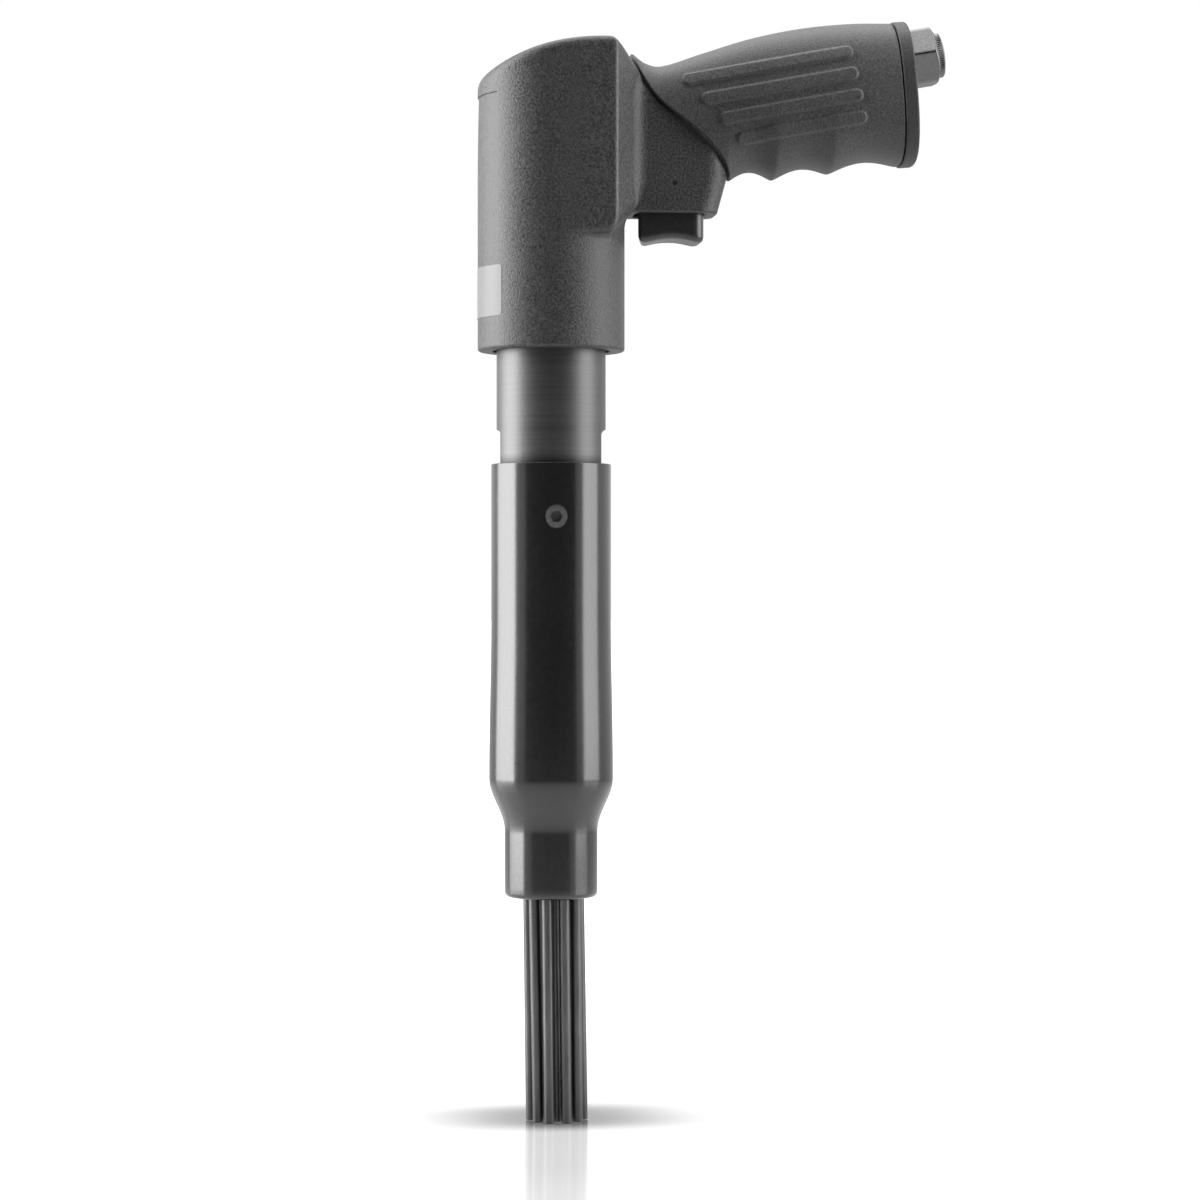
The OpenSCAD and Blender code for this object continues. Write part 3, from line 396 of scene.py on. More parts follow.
def smoothThrough(knots, t):
    # cubic curve through listed points, with slopes from the neighbours
    at, level = np.array(knots, float).T
    last = len(at) - 1
    low, high = np.maximum(np.arange(last + 1) - 1, 0), np.minimum(np.arange(last + 1) + 1, last)
    slope = (level[high] - level[low]) / (at[high] - at[low])
    i = np.clip(np.searchsorted(at, t, "right") - 1, 0, last - 1)
    span = at[i + 1] - at[i]
    u = np.clip((t - at[i]) / span, 0, 1)
    return (level[i] * (2 * u ** 3 - 3 * u ** 2 + 1) + level[i + 1] * (3 * u ** 2 - 2 * u ** 3)
            + span * (slope[i] * (u ** 3 - 2 * u ** 2 + u) + slope[i + 1] * (u ** 3 - u ** 2)))


def signedPower(v, p):
    return np.sign(v) * np.abs(v) ** p


def gripEnds(height):
    # x of the sleeve's two ends for a height from -1 to 1: a slanted, bowed front edge and the cap's tilt
    g = grip
    front = ((g["tipX"] + g["lowX"]) / 2 - (g["lowX"] - g["tipX"]) / 2 * height
             + (g["bow"] - g["sway"] * height) * (1 - height ** 2))
    back = tool["handleEnd"] - g["capGap"] - tool["capHalf"] * height * math.sin(tool["capTilt"])
    return front, back


def gripSection(x):
    # middle, half height and half width of the section at x; between two ridges the lower side rises by
    # half a sine wave
    g = grip
    t = (x - g["tipX"]) / (tool["handleEnd"] - g["tipX"])
    ridge = np.array(g["ridges"])
    k = np.clip(np.searchsorted(ridge, t, "right") - 1, 0, len(ridge) - 2)
    wave = np.sin(np.pi * np.clip((t - ridge[k]) / (ridge[k + 1] - ridge[k]), 0, 1))
    lift = np.array(g["grooves"])[k] * np.maximum(np.sqrt(wave ** 2 + g["ridgeSoft"]) - g["ridgeCut"], 0)
    crown = smoothThrough(g["crown"], t)
    drop = g["frontDrop"] + (g["backDrop"] - g["frontDrop"]) * t - lift
    half = g["frontHalf"] + (g["backHalf"] - g["frontHalf"]) * ease(t)
    middle = tool["axisZ"] + x * math.tan(tool["tilt"]) + (crown - drop) / 2
    return middle, (crown + drop) / 2, half


def gripPower(x, below):
    # the lower half is rounder towards the trigger
    share = np.clip((x - grip["lowX"]) / grip["roundRun"], 0, 1)
    return np.where(below, grip["lowPower"] + (grip["power"] - grip["lowPower"]) * share, grip["power"])


def gripPoint(x, angle):
    # a point on the superellipse at x: its half axes times cosine and sine, each to a power
    middle, halfHeight, half = gripSection(x)
    power = 2 / gripPower(x, np.sin(angle) < 0)
    y = half * signedPower(np.cos(angle), power)
    return np.stack([x, y, middle + halfHeight * signedPower(np.sin(angle), power)], -1)


# Housing: round lower body, flat-sided upper body with bevelled cheeks under an arch, and the trigger block

housing = {
    "domeR": 84, "domeX": 18.5, "topRound": 3.4,  # arched top
    "chinX": 22.1, "chinZ": 397.4, "chinSlope": 0.78, "chinRound": 2.0,  # slope from the arch to the neck
    "flatX": 21.9, "flatHalf": 26.4, "bevelX": 30.6, "neckHalf": 12, "cornerRound": 1.1,  # cheeks
    "flatsZ": 324.5, "flatsRise": 0.1, "bevelLift": 3.8, "bevelShare": 0.7, "flatsRound": 3.0,  # low edge
    "mouthRound": 1.2, "lap": 4, "lapBlend": (0.04, 2.5), "lapRun": (6, 10),  # round lower body
    "blockLowX": 61.5, "blockHighX": 64.8, "blockRise": (1, 13), "blockRound": 8, "blockEdge": 1.2,
    "blockFrom": 6, "blockTop": 1.0, "sleeveWall": 1.2, "coreGap": 0.3, "coreEnd": 74, "coreBlend": 0.8,
    "fillet": 3.2, "filletLeast": 0.5, "filletLow": (1, 10), "filletHigh": (392, 16),
    "seamDepth": 1.0, "seamWide": 0.8,
    "pocketX": 12.05, "pocketShift": 0.75, "pocketY": 9.3, "pocketRound": 4.3, "pocketTop": 358.6,
    "pocketEdge": 0.7, "boreTop": 345.2, "boreR": 20.3, "mouthR": 21.65, "mouthDepth": 1.6,
    "pinR": 0.95, "pinFrom": 10.4, "pinEdge": 0.2,
    "fieldDepth": 0.45, "fieldLow": 358.5, "fieldHigh": 378.0, "fieldAngle": math.radians(38),
    "fieldOut": -0.5, "fieldEdge": 0.35,  # shallow recess of the back
    # the paler line along the corner between cheek and bevel: a painted highlight
    "paintedCornerHighlightWide": 0.45, "paintedCornerHighlightFrom": 3, "paintedCornerHighlightFade": 4, "paintedCornerHighlightReach": 1.5,
}


def roundBox(u, v, halfU, halfV, radius):
    # distance to a rectangle with round corners
    a, b = np.abs(u) - halfU + radius, np.abs(v) - halfV + radius
    return np.hypot(np.maximum(a, 0), np.maximum(b, 0)) + np.minimum(np.maximum(a, b), 0) - radius


def cheeks(x, beside):
    # distances to the near-flat side and to the bevel that leads to the neck
    h = housing
    flatTurn = math.atan2(tool["bodyR"] - h["flatHalf"], h["flatX"])
    flat = (beside - tool["bodyR"]) * math.cos(flatTurn) + x * math.sin(flatTurn)
    bevelTurn = math.atan2(h["bevelX"] - h["flatX"], h["flatHalf"] - h["neckHalf"])
    return flat, (x - h["flatX"]) * math.cos(bevelTurn) + (beside - h["flatHalf"]) * math.sin(bevelTurn)


def bodyField(x, y, z):
    # upper body: cheeks, arch and chin, cut off below; it joins a round lower body
    h = housing
    radius = np.hypot(x, y)
    flat, bevel = cheeks(x, np.abs(y))
    sides = np.where(x < 0, radius - tool["bodyR"], smoothMax(flat, bevel, h["cornerRound"]))
    arch = np.hypot(x - h["domeX"], z - tool["topZ"] + h["domeR"]) - h["domeR"]
    chin = (x - h["chinX"]) * math.sin(h["chinSlope"]) + (z - h["chinZ"]) * math.cos(h["chinSlope"])
    upper = smoothMax(smoothMax(sides, arch, h["topRound"]), chin, h["chinRound"])
    flatsLow = h["flatsZ"] + h["flatsRise"] * x - z
    bevelLow = (h["flatsZ"] + h["bevelLift"] + x - h["flatX"] - z) * h["bevelShare"]
    upper = smoothMax(upper, np.maximum(flatsLow, bevelLow), h["flatsRound"])
    lower = smoothMax(radius - tool["bodyR"], tool["bodyZ"] - z, h["mouthRound"])
    lower = np.maximum(lower, z - tool["blockZ"] - h["lap"])
    forward = np.clip((x - h["lapRun"][0]) / h["lapRun"][1], 0, 1)
    return smoothMin(upper, lower, h["lapBlend"][0] + h["lapBlend"][1] * forward)


def blockField(x, y, z):
    # trigger block, held under the sleeve's upper skin, with the core of the handle; also gives the
    # distance under that skin and the sleeve's front edge
    h = housing
    endX = np.interp(z, np.add(tool["blockZ"], h["blockRise"]), [h["blockLowX"], h["blockHighX"]])
    block = roundBox(x, y, endX, h["neckHalf"], h["blockRound"])
    block = smoothMax(block, tool["blockZ"] - z, h["blockEdge"])
    middle, halfHeight, half = gripSection(np.maximum(x, grip["tipX"]))
    rise = (z - middle) / halfHeight
    power = gripPower(x, rise < 0)
    across = (np.abs(y) / half) ** power
    inside = ((np.maximum(rise, 0) ** power + across) ** (1 / power) - 1) * half + h["sleeveWall"]
    block = np.maximum(smoothMax(block, inside, h["blockTop"]), h["blockFrom"] - x)
    core = ((np.abs(rise) ** power + across) ** (1 / power) - 1) * half + h["sleeveWall"]
    front, _ = gripEnds(np.clip(rise, -1, 1))
    core = np.maximum(np.maximum(core, front + h["coreGap"] - x), x - h["coreEnd"])
    return smoothMin(block, core, h["coreBlend"]), inside, front


def housingField(x, y, z):
    # body and block joined by a fillet, less the seam, trigger pocket, bore, pin hole and back recess
    h = housing
    radius = np.hypot(x, y)
    body = bodyField(x, y, z)
    block, inside, front = blockField(x, y, z)
    fillet = h["fillet"] * np.clip((z - tool["blockZ"] - h["filletLow"][0]) / h["filletLow"][1], 0, 1)
    fillet = fillet * np.clip((h["filletHigh"][0] - z) / h["filletHigh"][1], 0, 1)
    seam = np.minimum(inside + h["seamDepth"], x - front + h["seamWide"])
    joined = smoothMin(body, block, h["filletLeast"] + fillet)
    body = np.minimum(body, np.maximum(joined, seam))
    pocket = roundBox(x - tool["triggerX"] + h["pocketShift"], y, h["pocketX"] + h["pocketShift"],
                      h["pocketY"], h["pocketRound"])
    body = smoothMax(body, -np.maximum(pocket, z - h["pocketTop"]), h["pocketEdge"])
    boreR = np.where(z < tool["bodyZ"] + h["mouthDepth"], h["mouthR"], h["boreR"])
    body = np.maximum(body, -np.maximum(radius - boreR, z - h["boreTop"]))
    pin = np.hypot(x - tool["triggerX"], z - tool["pinZ"]) - h["pinR"]
    body = smoothMax(body, -np.maximum(pin, h["pinFrom"] - np.abs(y)), h["pinEdge"])
    backAngle = np.abs(np.arctan2(y, -x))
    sunk = np.maximum(z - h["fieldHigh"], (backAngle - h["fieldAngle"]) * tool["bodyR"])
    risen = np.clip((z - h["fieldLow"]) / (h["fieldHigh"] - h["fieldLow"]), h["fieldOut"], 1)
    sunk = np.maximum(sunk, tool["bodyR"] - h["fieldDepth"] * risen - radius)
    return smoothMax(body, -sunk, h["fieldEdge"])


# finer at the mouth, the pin hole, the neck, the line of the recess and the top
points, quads, normals = netSurface(
    housingField,
    gridLine((-28.6, 0.75), (18, 0.5), (36, 0.75), (42.6, 0.3), (46.4, 0.75), 76),
    gridLine((-28.6, 0.7), 28.6),
    gridLine((283.4, 0.6), (290, 1.5), (320, 0.75), (344.4, 0.3), (348.2, 0.75), (377.3, 0.15),
             (378.7, 0.75), (388, 0.5), 399.4))
housingPiece = buildMesh("housingShell", points, quads, normals)
# a painted highlight: a paler line along the corner between cheek and bevel, fading in above the flats' low
# edge
flat, bevel = cheeks(points[:, 0], np.abs(points[:, 1]))
paintedCornerHighlight = np.exp(-((flat - bevel) / housing["paintedCornerHighlightWide"]) ** 2) * (np.abs(flat) < housing["paintedCornerHighlightReach"])
paintedCornerHighlightUp = np.clip((points[:, 2] - housing["flatsZ"] - housing["paintedCornerHighlightFrom"]) / housing["paintedCornerHighlightFade"], 0, 1)
paintedCornerHighlightLine = housingPiece.data.attributes.new("cornerHighlightPaint", "FLOAT", "POINT")
paintedCornerHighlightLine.data.foreach_set("value", (paintedCornerHighlight * paintedCornerHighlightUp).astype(np.float32))
place(housingPiece, powderCoat, "tool", "casting", "housing")


# Grip surface: ribs and rolled edges on the sections above

def ribHeight(p):
    # bars with round ends on each side, flat on top with a soft flank
    g = grip
    along = p[..., 0] * math.cos(tool["tilt"]) + (p[..., 2] - tool["axisZ"]) * math.sin(tool["tilt"])
    below = p[..., 0] * math.sin(tool["tilt"]) - (p[..., 2] - tool["axisZ"]) * math.cos(tool["tilt"])
    best = np.full(along.shape, np.inf)
    for i in range(g["ribs"]):
        front, back = g["ribFront"][0] + i * g["ribFront"][1], g["ribBack"][0] + i * g["ribBack"][1]
        past = np.maximum(np.abs(along - (front + back) / 2) - (back - front) / 2 + g["ribW"] / 2, 0)
        best = np.minimum(best, np.hypot(past, below - i * g["ribPitch"] + g["ribTop"]) - g["ribW"] / 2)
    share = np.clip(0.5 - best / g["ribFlank"], 0, 1)
    return g["ribH"] * share * share * (3 - 2 * share)


def gripSurface():
    # rows run from the front edge to the back one and return inside; each row's points are moved along
    # their normal by the rib's height less a depth, and along x by a shift, which rolls the edges
    g = grip
    sweep = np.pi / 2 + np.linspace(0, 2 * np.pi, 4001)
    length = runLength(gripPoint(np.full(len(sweep), 100.0), sweep))
    angle = np.interp(np.arange(g["columns"]) * length[-1] / g["columns"], length, sweep)
    below = np.sin(angle) < 0
    front = gripEnds(signedPower(np.sin(angle), 2 / gripPower(g["tipX"], below)))[0]
    back = gripEnds(signedPower(np.sin(angle), 2 / g["power"]))[1]
    roll = np.linspace(0, np.pi / 2, g["rollRows"])
    unroll = roll[::-1]
    skin = np.linspace(0, 1, g["rows"])[1:-1]
    inner = np.linspace(1, 0, g["innerRows"])[1:-1]
    wall = np.zeros(3)  # rows of the end walls, under the rolled edges
    edgeRows = len(wall) + len(roll)
    along = np.concatenate([np.zeros(edgeRows), skin, np.ones(edgeRows), inner])
    shift = np.concatenate([wall, g["frontRoll"] * (1 - np.cos(roll)),
                            g["frontRoll"] - (g["backRoll"] + g["frontRoll"]) * skin,
                            -g["backRoll"] * (1 - np.cos(unroll)), wall, 0 * inner])
    sunk = np.concatenate([[g["rollDepth"]], g["frontSteps"], g["frontRoll"] * (1 - np.sin(roll)), 0 * skin,
                           g["backRoll"] * (1 - np.sin(unroll)), g["backSteps"], [g["rollDepth"]],
                           np.full(len(inner), g["rollDepth"])])
    rowX = front[None] + along[:, None] * (back - front)[None] + shift[:, None]
    angles = np.broadcast_to(angle, rowX.shape)
    base = gripPoint(rowX, angles)
    alongX = gripPoint(rowX + 0.05, angles) - gripPoint(rowX - 0.05, angles)
    around = gripPoint(rowX, angles + 0.002) - gripPoint(rowX, angles - 0.002)
    normal = np.cross(around, alongX)
    normal /= np.linalg.norm(normal, axis=-1, keepdims=True)
    rib = ribHeight(base) * (sunk == 0)[:, None]
    return base + normal * (rib - sunk[:, None])[..., None]


place(gridPiece("gripSleeve", gripSurface(), True), gripRubber, "tool", "grip_rubber", "grip_sleeve")


# End cap: superellipse plate with a round rim, a spot face for the inlet and seven vents

cap = {"thick": 5.0, "lip": 0.4, "edge": 0.9, "spotR": 12.44, "spotEdge": 0.4, "boreR": 8.05,
       "ventR": 1.5, "ventPitch": 4.6, "ventDrop": 18.5, "ventEdge": 0.35, "step": 0.42}
capOut = np.array([math.cos(tool["capTilt"]), 0, math.sin(tool["capTilt"])])
capUp = np.array([-math.sin(tool["capTilt"]), 0, math.cos(tool["capTilt"])])
capMid = np.array([tool["handleEnd"], 0, tool["capZ"]])
axisOut = np.array([math.cos(tool["tilt"]), 0, math.sin(tool["tilt"])])
axisDown = np.array([math.sin(tool["tilt"]), 0, -math.cos(tool["tilt"])])
axisFrom = np.array([0, 0, tool["axisZ"]])


def capField(x, y, z):
    # x is the height up the plate, z the distance out of the handle
    c = cap
    reach = np.maximum(np.hypot(x, y), 1e-6)
    size = ((np.abs(x) / (tool["capHalf"] + c["lip"])) ** grip["power"]
            + (np.abs(y) / (grip["backHalf"] + c["lip"])) ** grip["power"]) ** (1 / grip["power"])
    rim = reach * (1 - 1 / np.maximum(size, 1e-6))
    plate = smoothMax(rim, np.abs(z - c["thick"] / 2) - c["thick"] / 2, c["edge"])
    fromAxis = capMid[:, None] + np.outer(capUp, x.ravel()) + np.outer(capOut, z.ravel()) - axisFrom[:, None]
    out = (axisOut @ fromAxis).reshape(x.shape)
    down = (axisDown @ fromAxis).reshape(x.shape)
    spot = np.maximum(np.hypot(down, y) - c["spotR"], tool["inletS"] - tool["spotDepth"] - out)
    plate = smoothMax(plate, -spot, c["spotEdge"])
    plate = np.maximum(plate, -(np.hypot(down, y) - c["boreR"]))
    # one vent in the middle and six round it, folded into one sixth of a turn
    drop = down - c["ventDrop"]
    sector = np.arctan2(y, drop)
    sector = sector - np.round(sector / (np.pi / 3)) * np.pi / 3
    ring = np.hypot(y, drop)
    outer = np.hypot(ring * np.cos(sector) - c["ventPitch"], ring * np.sin(sector))
    vents = np.minimum(ring, outer) - c["ventR"]
    return smoothMax(plate, -vents, c["ventEdge"])


points, quads, normals = netSurface(
    capField, gridLine((-28, cap["step"]), 28), gridLine((-22, cap["step"]), 22),
    gridLine((-1, cap["step"]), 6))
turnCap = np.stack([capUp, [0, -1, 0], capOut])
capPiece = buildMesh("endPlate", points @ turnCap + capMid, quads, normals @ turnCap)
place(capPiece, capPlastic, "tool", "cap_plastic", "end_cap")


# Inlet: hexagon with a coned end, a knurled collar and a threaded bore

inlet = {
    "across": 20.5, "turn": math.radians(29), "start": -0.2755, "hexLen": 11.5, "hexSharp": 46,
    "footCut": 0.1, "footSlope": 3, "footRound": 0.4, "coneCut": 0.35, "coneSlope": 1.55, "coneRound": 0.5,
    "collarR": 8.35, "collarLen": 2.6, "knurls": 60, "knurlDepth": 0.22,
    "boreR": 5.9, "boreLen": 13.0, "threadPitch": 1.34, "threadDepth": 0.42, "threadFade": 1.5,
    "portR": 4.0, "shankR": 8.0, "shankEnd": -19.2, "sides": 360,
}


def inletSurface():
    # rows are a profile along the inlet axis; the hexagon's radius is a steep power mean of its six flats,
    # held under a cone at each end, and the thread is a triangle wave that climbs one pitch a turn
    n = inlet
    angle = np.linspace(0, 2 * np.pi, n["sides"], endpoint=False)
    flats = n["turn"] + np.pi / 6 + np.arange(6) * np.pi / 3
    facing = np.maximum(np.cos(angle[:, None] - flats), 0)
    hexHalf, low = n["across"] / 2, n["start"]
    hexR = hexHalf / (facing ** n["hexSharp"]).sum(1) ** (1 / n["hexSharp"])
    end = low + n["hexLen"]
    top = end + n["collarLen"]
    s = np.concatenate([[low, low + 0.12, low + 0.3, low + 0.6], np.linspace(low + 1, end - 3, 6),
                        np.linspace(end - 2.9, end, 16)])
    foot = hexHalf - n["footCut"] + (s - low) * n["footSlope"]
    cone = hexHalf - n["coneCut"] + (end - s) * n["coneSlope"]
    hexRows = smoothMin(hexR[None], cone[:, None], n["coneRound"])
    hexRows = smoothMin(hexRows, foot[:, None], n["footRound"])
    collar = softCorners([
        (hexHalf - 0.6, end, 0), (n["collarR"], end + 0.05, 0.3), (n["collarR"], top, 0.7),
        (n["boreR"] + 1.0, top, 0.3), (n["boreR"] + 0.1, top - 1.0, 0)])
    ridged = n["knurlDepth"] * (0.5 - 0.5 * np.cos(angle * n["knurls"]))
    onCollar = (collar[:, :1] > n["collarR"] - 0.5) & (collar[:, 1:] > end + 0.3)
    collarRows = collar[:, :1] - onCollar * ridged[None]
    depth = np.linspace(1.1, n["boreLen"], 110)
    wave = np.abs((depth[:, None] / n["threadPitch"] + angle[None] / (2 * np.pi)) % 1 * 2 - 1)
    fade = np.clip((n["boreLen"] - depth) / n["threadFade"], 0, 1)[:, None]
    threadRows = n["boreR"] + n["threadDepth"] * (wave - 0.5) * fade
    shank = np.array([[n["portR"], top - n["boreLen"]], [n["portR"], n["shankEnd"]],
                      [n["shankR"], n["shankEnd"]], [n["shankR"], low]])
    radius = np.concatenate([hexRows, collarRows, threadRows, np.repeat(shank[:, :1], len(angle), 1)])
    height = np.concatenate([s, collar[:, 1], top - depth, shank[:, 1]])
    aim = np.cos(angle)[:, None] * axisDown + np.sin(angle)[:, None] * [0, 1, 0]
    return radius[..., None] * aim[None] + (tool["inletS"] + height)[:, None, None] * axisOut + axisFrom


inletPiece = gridPiece("inletFitting", inletSurface(), True, sharpAngle=38, weld=True)
place(inletPiece, platedSteel, "tool", "plated_steel", "inlet_bushing")


# Trigger: round-cornered block with a finger hollow and soft lower edges

lever = {"halfX": 11.75, "halfY": 9.0, "corner": 4.4, "frontCorner": 1.4, "reach": 1.4, "taper": 2.6,
         "low": 324.3, "high": 352.0, "hollow": 1.7, "hollowRound": 1.2, "edge": 3.2, "topEdge": 0.6,
         "slotHalf": 1.15, "travel": 6.0, "step": 0.42}


def triggerField(x, y, z):
    # a prism that tapers towards one side, cut from below by a cylinder and slotted for its pin
    v = lever
    u = x - tool["triggerX"]
    taper = v["taper"] * np.clip((y / v["halfY"] + 1) / 2, 0, 1)
    u = np.where(u < 0, u * v["halfX"] / (v["halfX"] + v["reach"] - taper), u)
    prism = roundBox(u, y, v["halfX"], v["halfY"], np.where(u < 0, v["frontCorner"], v["corner"]))
    chord = v["halfX"] - v["corner"] / 2
    hollowR = (chord ** 2 + v["hollow"] ** 2) / (2 * v["hollow"])
    hollow = hollowR - np.hypot(x - tool["triggerX"], z - v["low"] - v["hollow"] + hollowR)
    face = smoothMax(v["low"] - z, hollow, v["hollowRound"])
    solid = smoothMax(smoothMax(prism, face, v["edge"]), z - v["high"], v["topEdge"])
    slot = roundBox(x - tool["triggerX"], z - tool["pinZ"] + v["travel"] / 2, v["slotHalf"],
                    v["travel"] / 2 + v["slotHalf"], v["slotHalf"])
    return np.maximum(solid, -slot)


points, quads, normals = netSurface(
    triggerField, gridLine((30.2, lever["step"]), 57.4), gridLine((-10, lever["step"]), 10),
    gridLine((323.2, lever["step"]), 353))
place(buildMesh("triggerLever", points, quads, normals), triggerBlack, "trigger", "trigger_black", "trigger")


# Needle tube: one long turned profile; on two sides a square patch of its grid opens into a screw hole

tube = {
    "low": 82.8, "top": 242.8, "r": 22.2, "wall": 3.4, "rim": 0.7, "swell": 0.75, "swellLen": 60,
    "noseR": 17.2, "noseBore": 13.0, "noseLen": 24.2, "noseRound": 2.0, "shoulderLen": 20,
    "boreMid": 180, "boreLow": 126, "screwZ": 223.0, "screwR": 4.05, "screwEdge": 0.3,
    "screwDepths": [1.6, 3.0], "patch": 15, "sides": 256,
}


def tubeRadius(z):
    # outer radius: eased from the nose up the shoulder, then a slight swell that fades
    t = tube
    shoulder = t["low"] + t["noseLen"]
    shoulderTop = shoulder + t["shoulderLen"]
    full = t["r"] + t["swell"] * (1 - ease((z - shoulderTop) / t["swellLen"]))
    return t["noseR"] + (full - t["noseR"]) * ease((z - shoulder) / t["shoulderLen"])


def tubeSurface():
    # the profile is turned; the rings of each patch blend from its square edge to a circle and go inwards
    t = tube
    turn = 2 * np.pi / t["sides"]
    cell = turn * t["r"]
    half = t["patch"]
    shoulder = t["low"] + t["noseLen"]
    shoulderTop = shoulder + t["shoulderLen"]
    quarter = np.linspace(0, np.pi / 2, 9)
    lip = np.stack([t["noseR"] - t["noseRound"] * (1 - np.sin(quarter)),
                    t["low"] + t["noseRound"] * (1 - np.cos(quarter))], 1)
    heights = np.concatenate([
        np.linspace(t["low"] + t["noseRound"], shoulder - 1, 12)[1:],
        np.linspace(shoulder - 0.5, shoulderTop + 0.5, 34),
        np.linspace(shoulderTop + 3, t["screwZ"] - half * cell, 26)[:-1],
        t["screwZ"] + np.arange(-half, half + 1) * cell,
        np.linspace(t["screwZ"] + half * cell, t["top"] - t["rim"], 8)[1:]])
    wall = np.stack([tubeRadius(heights), heights], 1)
    boreR = t["r"] - t["wall"]
    rim = softCorners([(t["r"], t["top"] - t["rim"], 0), (t["r"], t["top"], 0.6), (boreR, t["top"], 0.4),
                       (boreR, t["boreMid"], 0)])[1:]
    inner = np.array([[boreR, t["boreLow"]], [t["noseBore"], t["boreLow"]], [t["noseBore"], t["low"] + 0.5],
                      [t["noseBore"] + 0.5, t["low"]]])
    points, quads = lathe(np.concatenate([lip, wall, rim, inner]), t["sides"], True)
    firstRow = len(lip) + int(np.argmin(np.abs(heights - (t["screwZ"] - half * cell))))
    row, column = quads[:, 0] // t["sides"], quads[:, 0] % t["sides"]
    parts, faces, keep = [points], [], np.ones(len(quads), bool)
    side = np.arange(2 * half)
    end = 0 * side + half
    edge = np.concatenate([np.stack([side - half, -end], 1), np.stack([end, side - half], 1),
                           np.stack([half - side, end], 1), np.stack([-end, half - side], 1)]) * cell
    aim = np.arctan2(edge[:, 1], edge[:, 0])
    circle = np.stack([np.cos(aim), np.sin(aim)], 1)
    share = np.linspace(1, 0, 11)[:, None, None]
    bend = np.linspace(0, np.pi / 2, 6)[1:]
    rounded = (t["screwR"] + t["screwEdge"] * (1 - np.sin(bend)))[:, None, None]
    rings = np.concatenate([edge * share + circle * (t["screwR"] + t["screwEdge"]) * (1 - share),
                            circle * rounded, circle * np.full((len(t["screwDepths"]), 1, 1), t["screwR"])])
    depth = np.concatenate([np.zeros(len(share)), t["screwEdge"] * (1 - np.cos(bend)), t["screwDepths"]])
    for centre in (t["sides"] * 3 // 4, t["sides"] // 4):
        keep &= ~((row >= firstRow) & (row < firstRow + 2 * half) & (np.abs(column - centre + 0.5) < half))
        theta = centre * turn + rings[..., 0] / t["r"]
        height = t["screwZ"] + rings[..., 1]
        radius = tubeRadius(height)
        spot = np.stack([radius * np.cos(theta), radius * np.sin(theta), height], -1)
        inward = -np.array([math.cos(centre * turn), math.sin(centre * turn), 0])
        spot = spot + depth[:, None, None] * inward
        faces.append(gridQuads(*spot.shape[:2]) + sum(len(p) for p in parts))
        parts.append(spot.reshape(-1, 3))
    return np.concatenate(parts), np.concatenate([quads[keep]] + faces)


tubePiece = buildMesh("needleTube", *tubeSurface(), sharpAngle=50, weld=True)
place(tubePiece, tubePaint, "tool", "tube_black", "needle_tube")


# Barrel: turned steel that stands on the tube's rim, with a wrench flat milled on each side above it

barrel = {"low": 208, "rimZ": 242.8, "top": 345, "r": 20.2, "spigotR": 18.7, "bore": 12.55, "boreRun": 5,
          "flatHalf": 18.6, "flatTurn": math.radians(-6), "flatTop": 253.9, "runOut": 1.8, "sides": 192}


def barrelSurface():
    # a turned profile; across the flats x is held to a limit that leaves the flat along a quarter circle
    b = barrel
    edge = math.acos(b["flatHalf"] / b["r"])
    turns = np.linspace(0, 2 * np.pi, b["sides"], endpoint=False)
    turns = np.sort(np.concatenate([turns, [edge, np.pi - edge, np.pi + edge, 2 * np.pi - edge]]))
    low = softCorners([(b["bore"], b["low"] + b["boreRun"], 0), (b["bore"], b["low"], 0.3),
                       (b["spigotR"], b["low"], 0.6), (b["spigotR"], b["rimZ"] - 1.4, 0)])
    bend = np.linspace(0, np.pi / 2, 9)
    # the full section starts just under the tube's rim, so that the flat has no crease above it
    levels = np.concatenate([[b["rimZ"] - 1.0, b["rimZ"] - 0.4], b["flatTop"] + b["runOut"] * np.sin(bend)])
    wall = np.stack([np.full(len(levels), b["r"]), levels], 1)
    high = softCorners([(b["r"], b["top"] - b["boreRun"], 0), (b["r"], b["top"], 0.6),
                        (b["bore"], b["top"], 0.3), (b["bore"], b["top"] - b["boreRun"], 0)])
    leaving = b["flatHalf"] + (b["r"] - b["flatHalf"]) * (1 - np.cos(bend))
    limit = np.concatenate([np.full(len(low), b["r"]), [b["flatHalf"]] * 2, leaving,
                            np.full(len(high), b["r"])])[:, None]
    r, z = np.concatenate([low, wall, high]).T[:, :, None]
    x = np.clip(r * np.cos(turns), -limit, limit)
    y = r * np.sin(turns)
    c, s = math.cos(b["flatTurn"]), math.sin(b["flatTurn"])
    return np.stack([x * c - y * s, x * s + y * c, z + 0 * turns], -1)


barrelPiece = gridPiece("barrelTurned", barrelSurface(), True, sharpAngle=24, weld=True)
place(barrelPiece, barrelSteel, "tool", "barrel_steel", "barrel")


# Needles: rods with flat tips, straight in their holder; below it the loose bundle leans to the handle's side

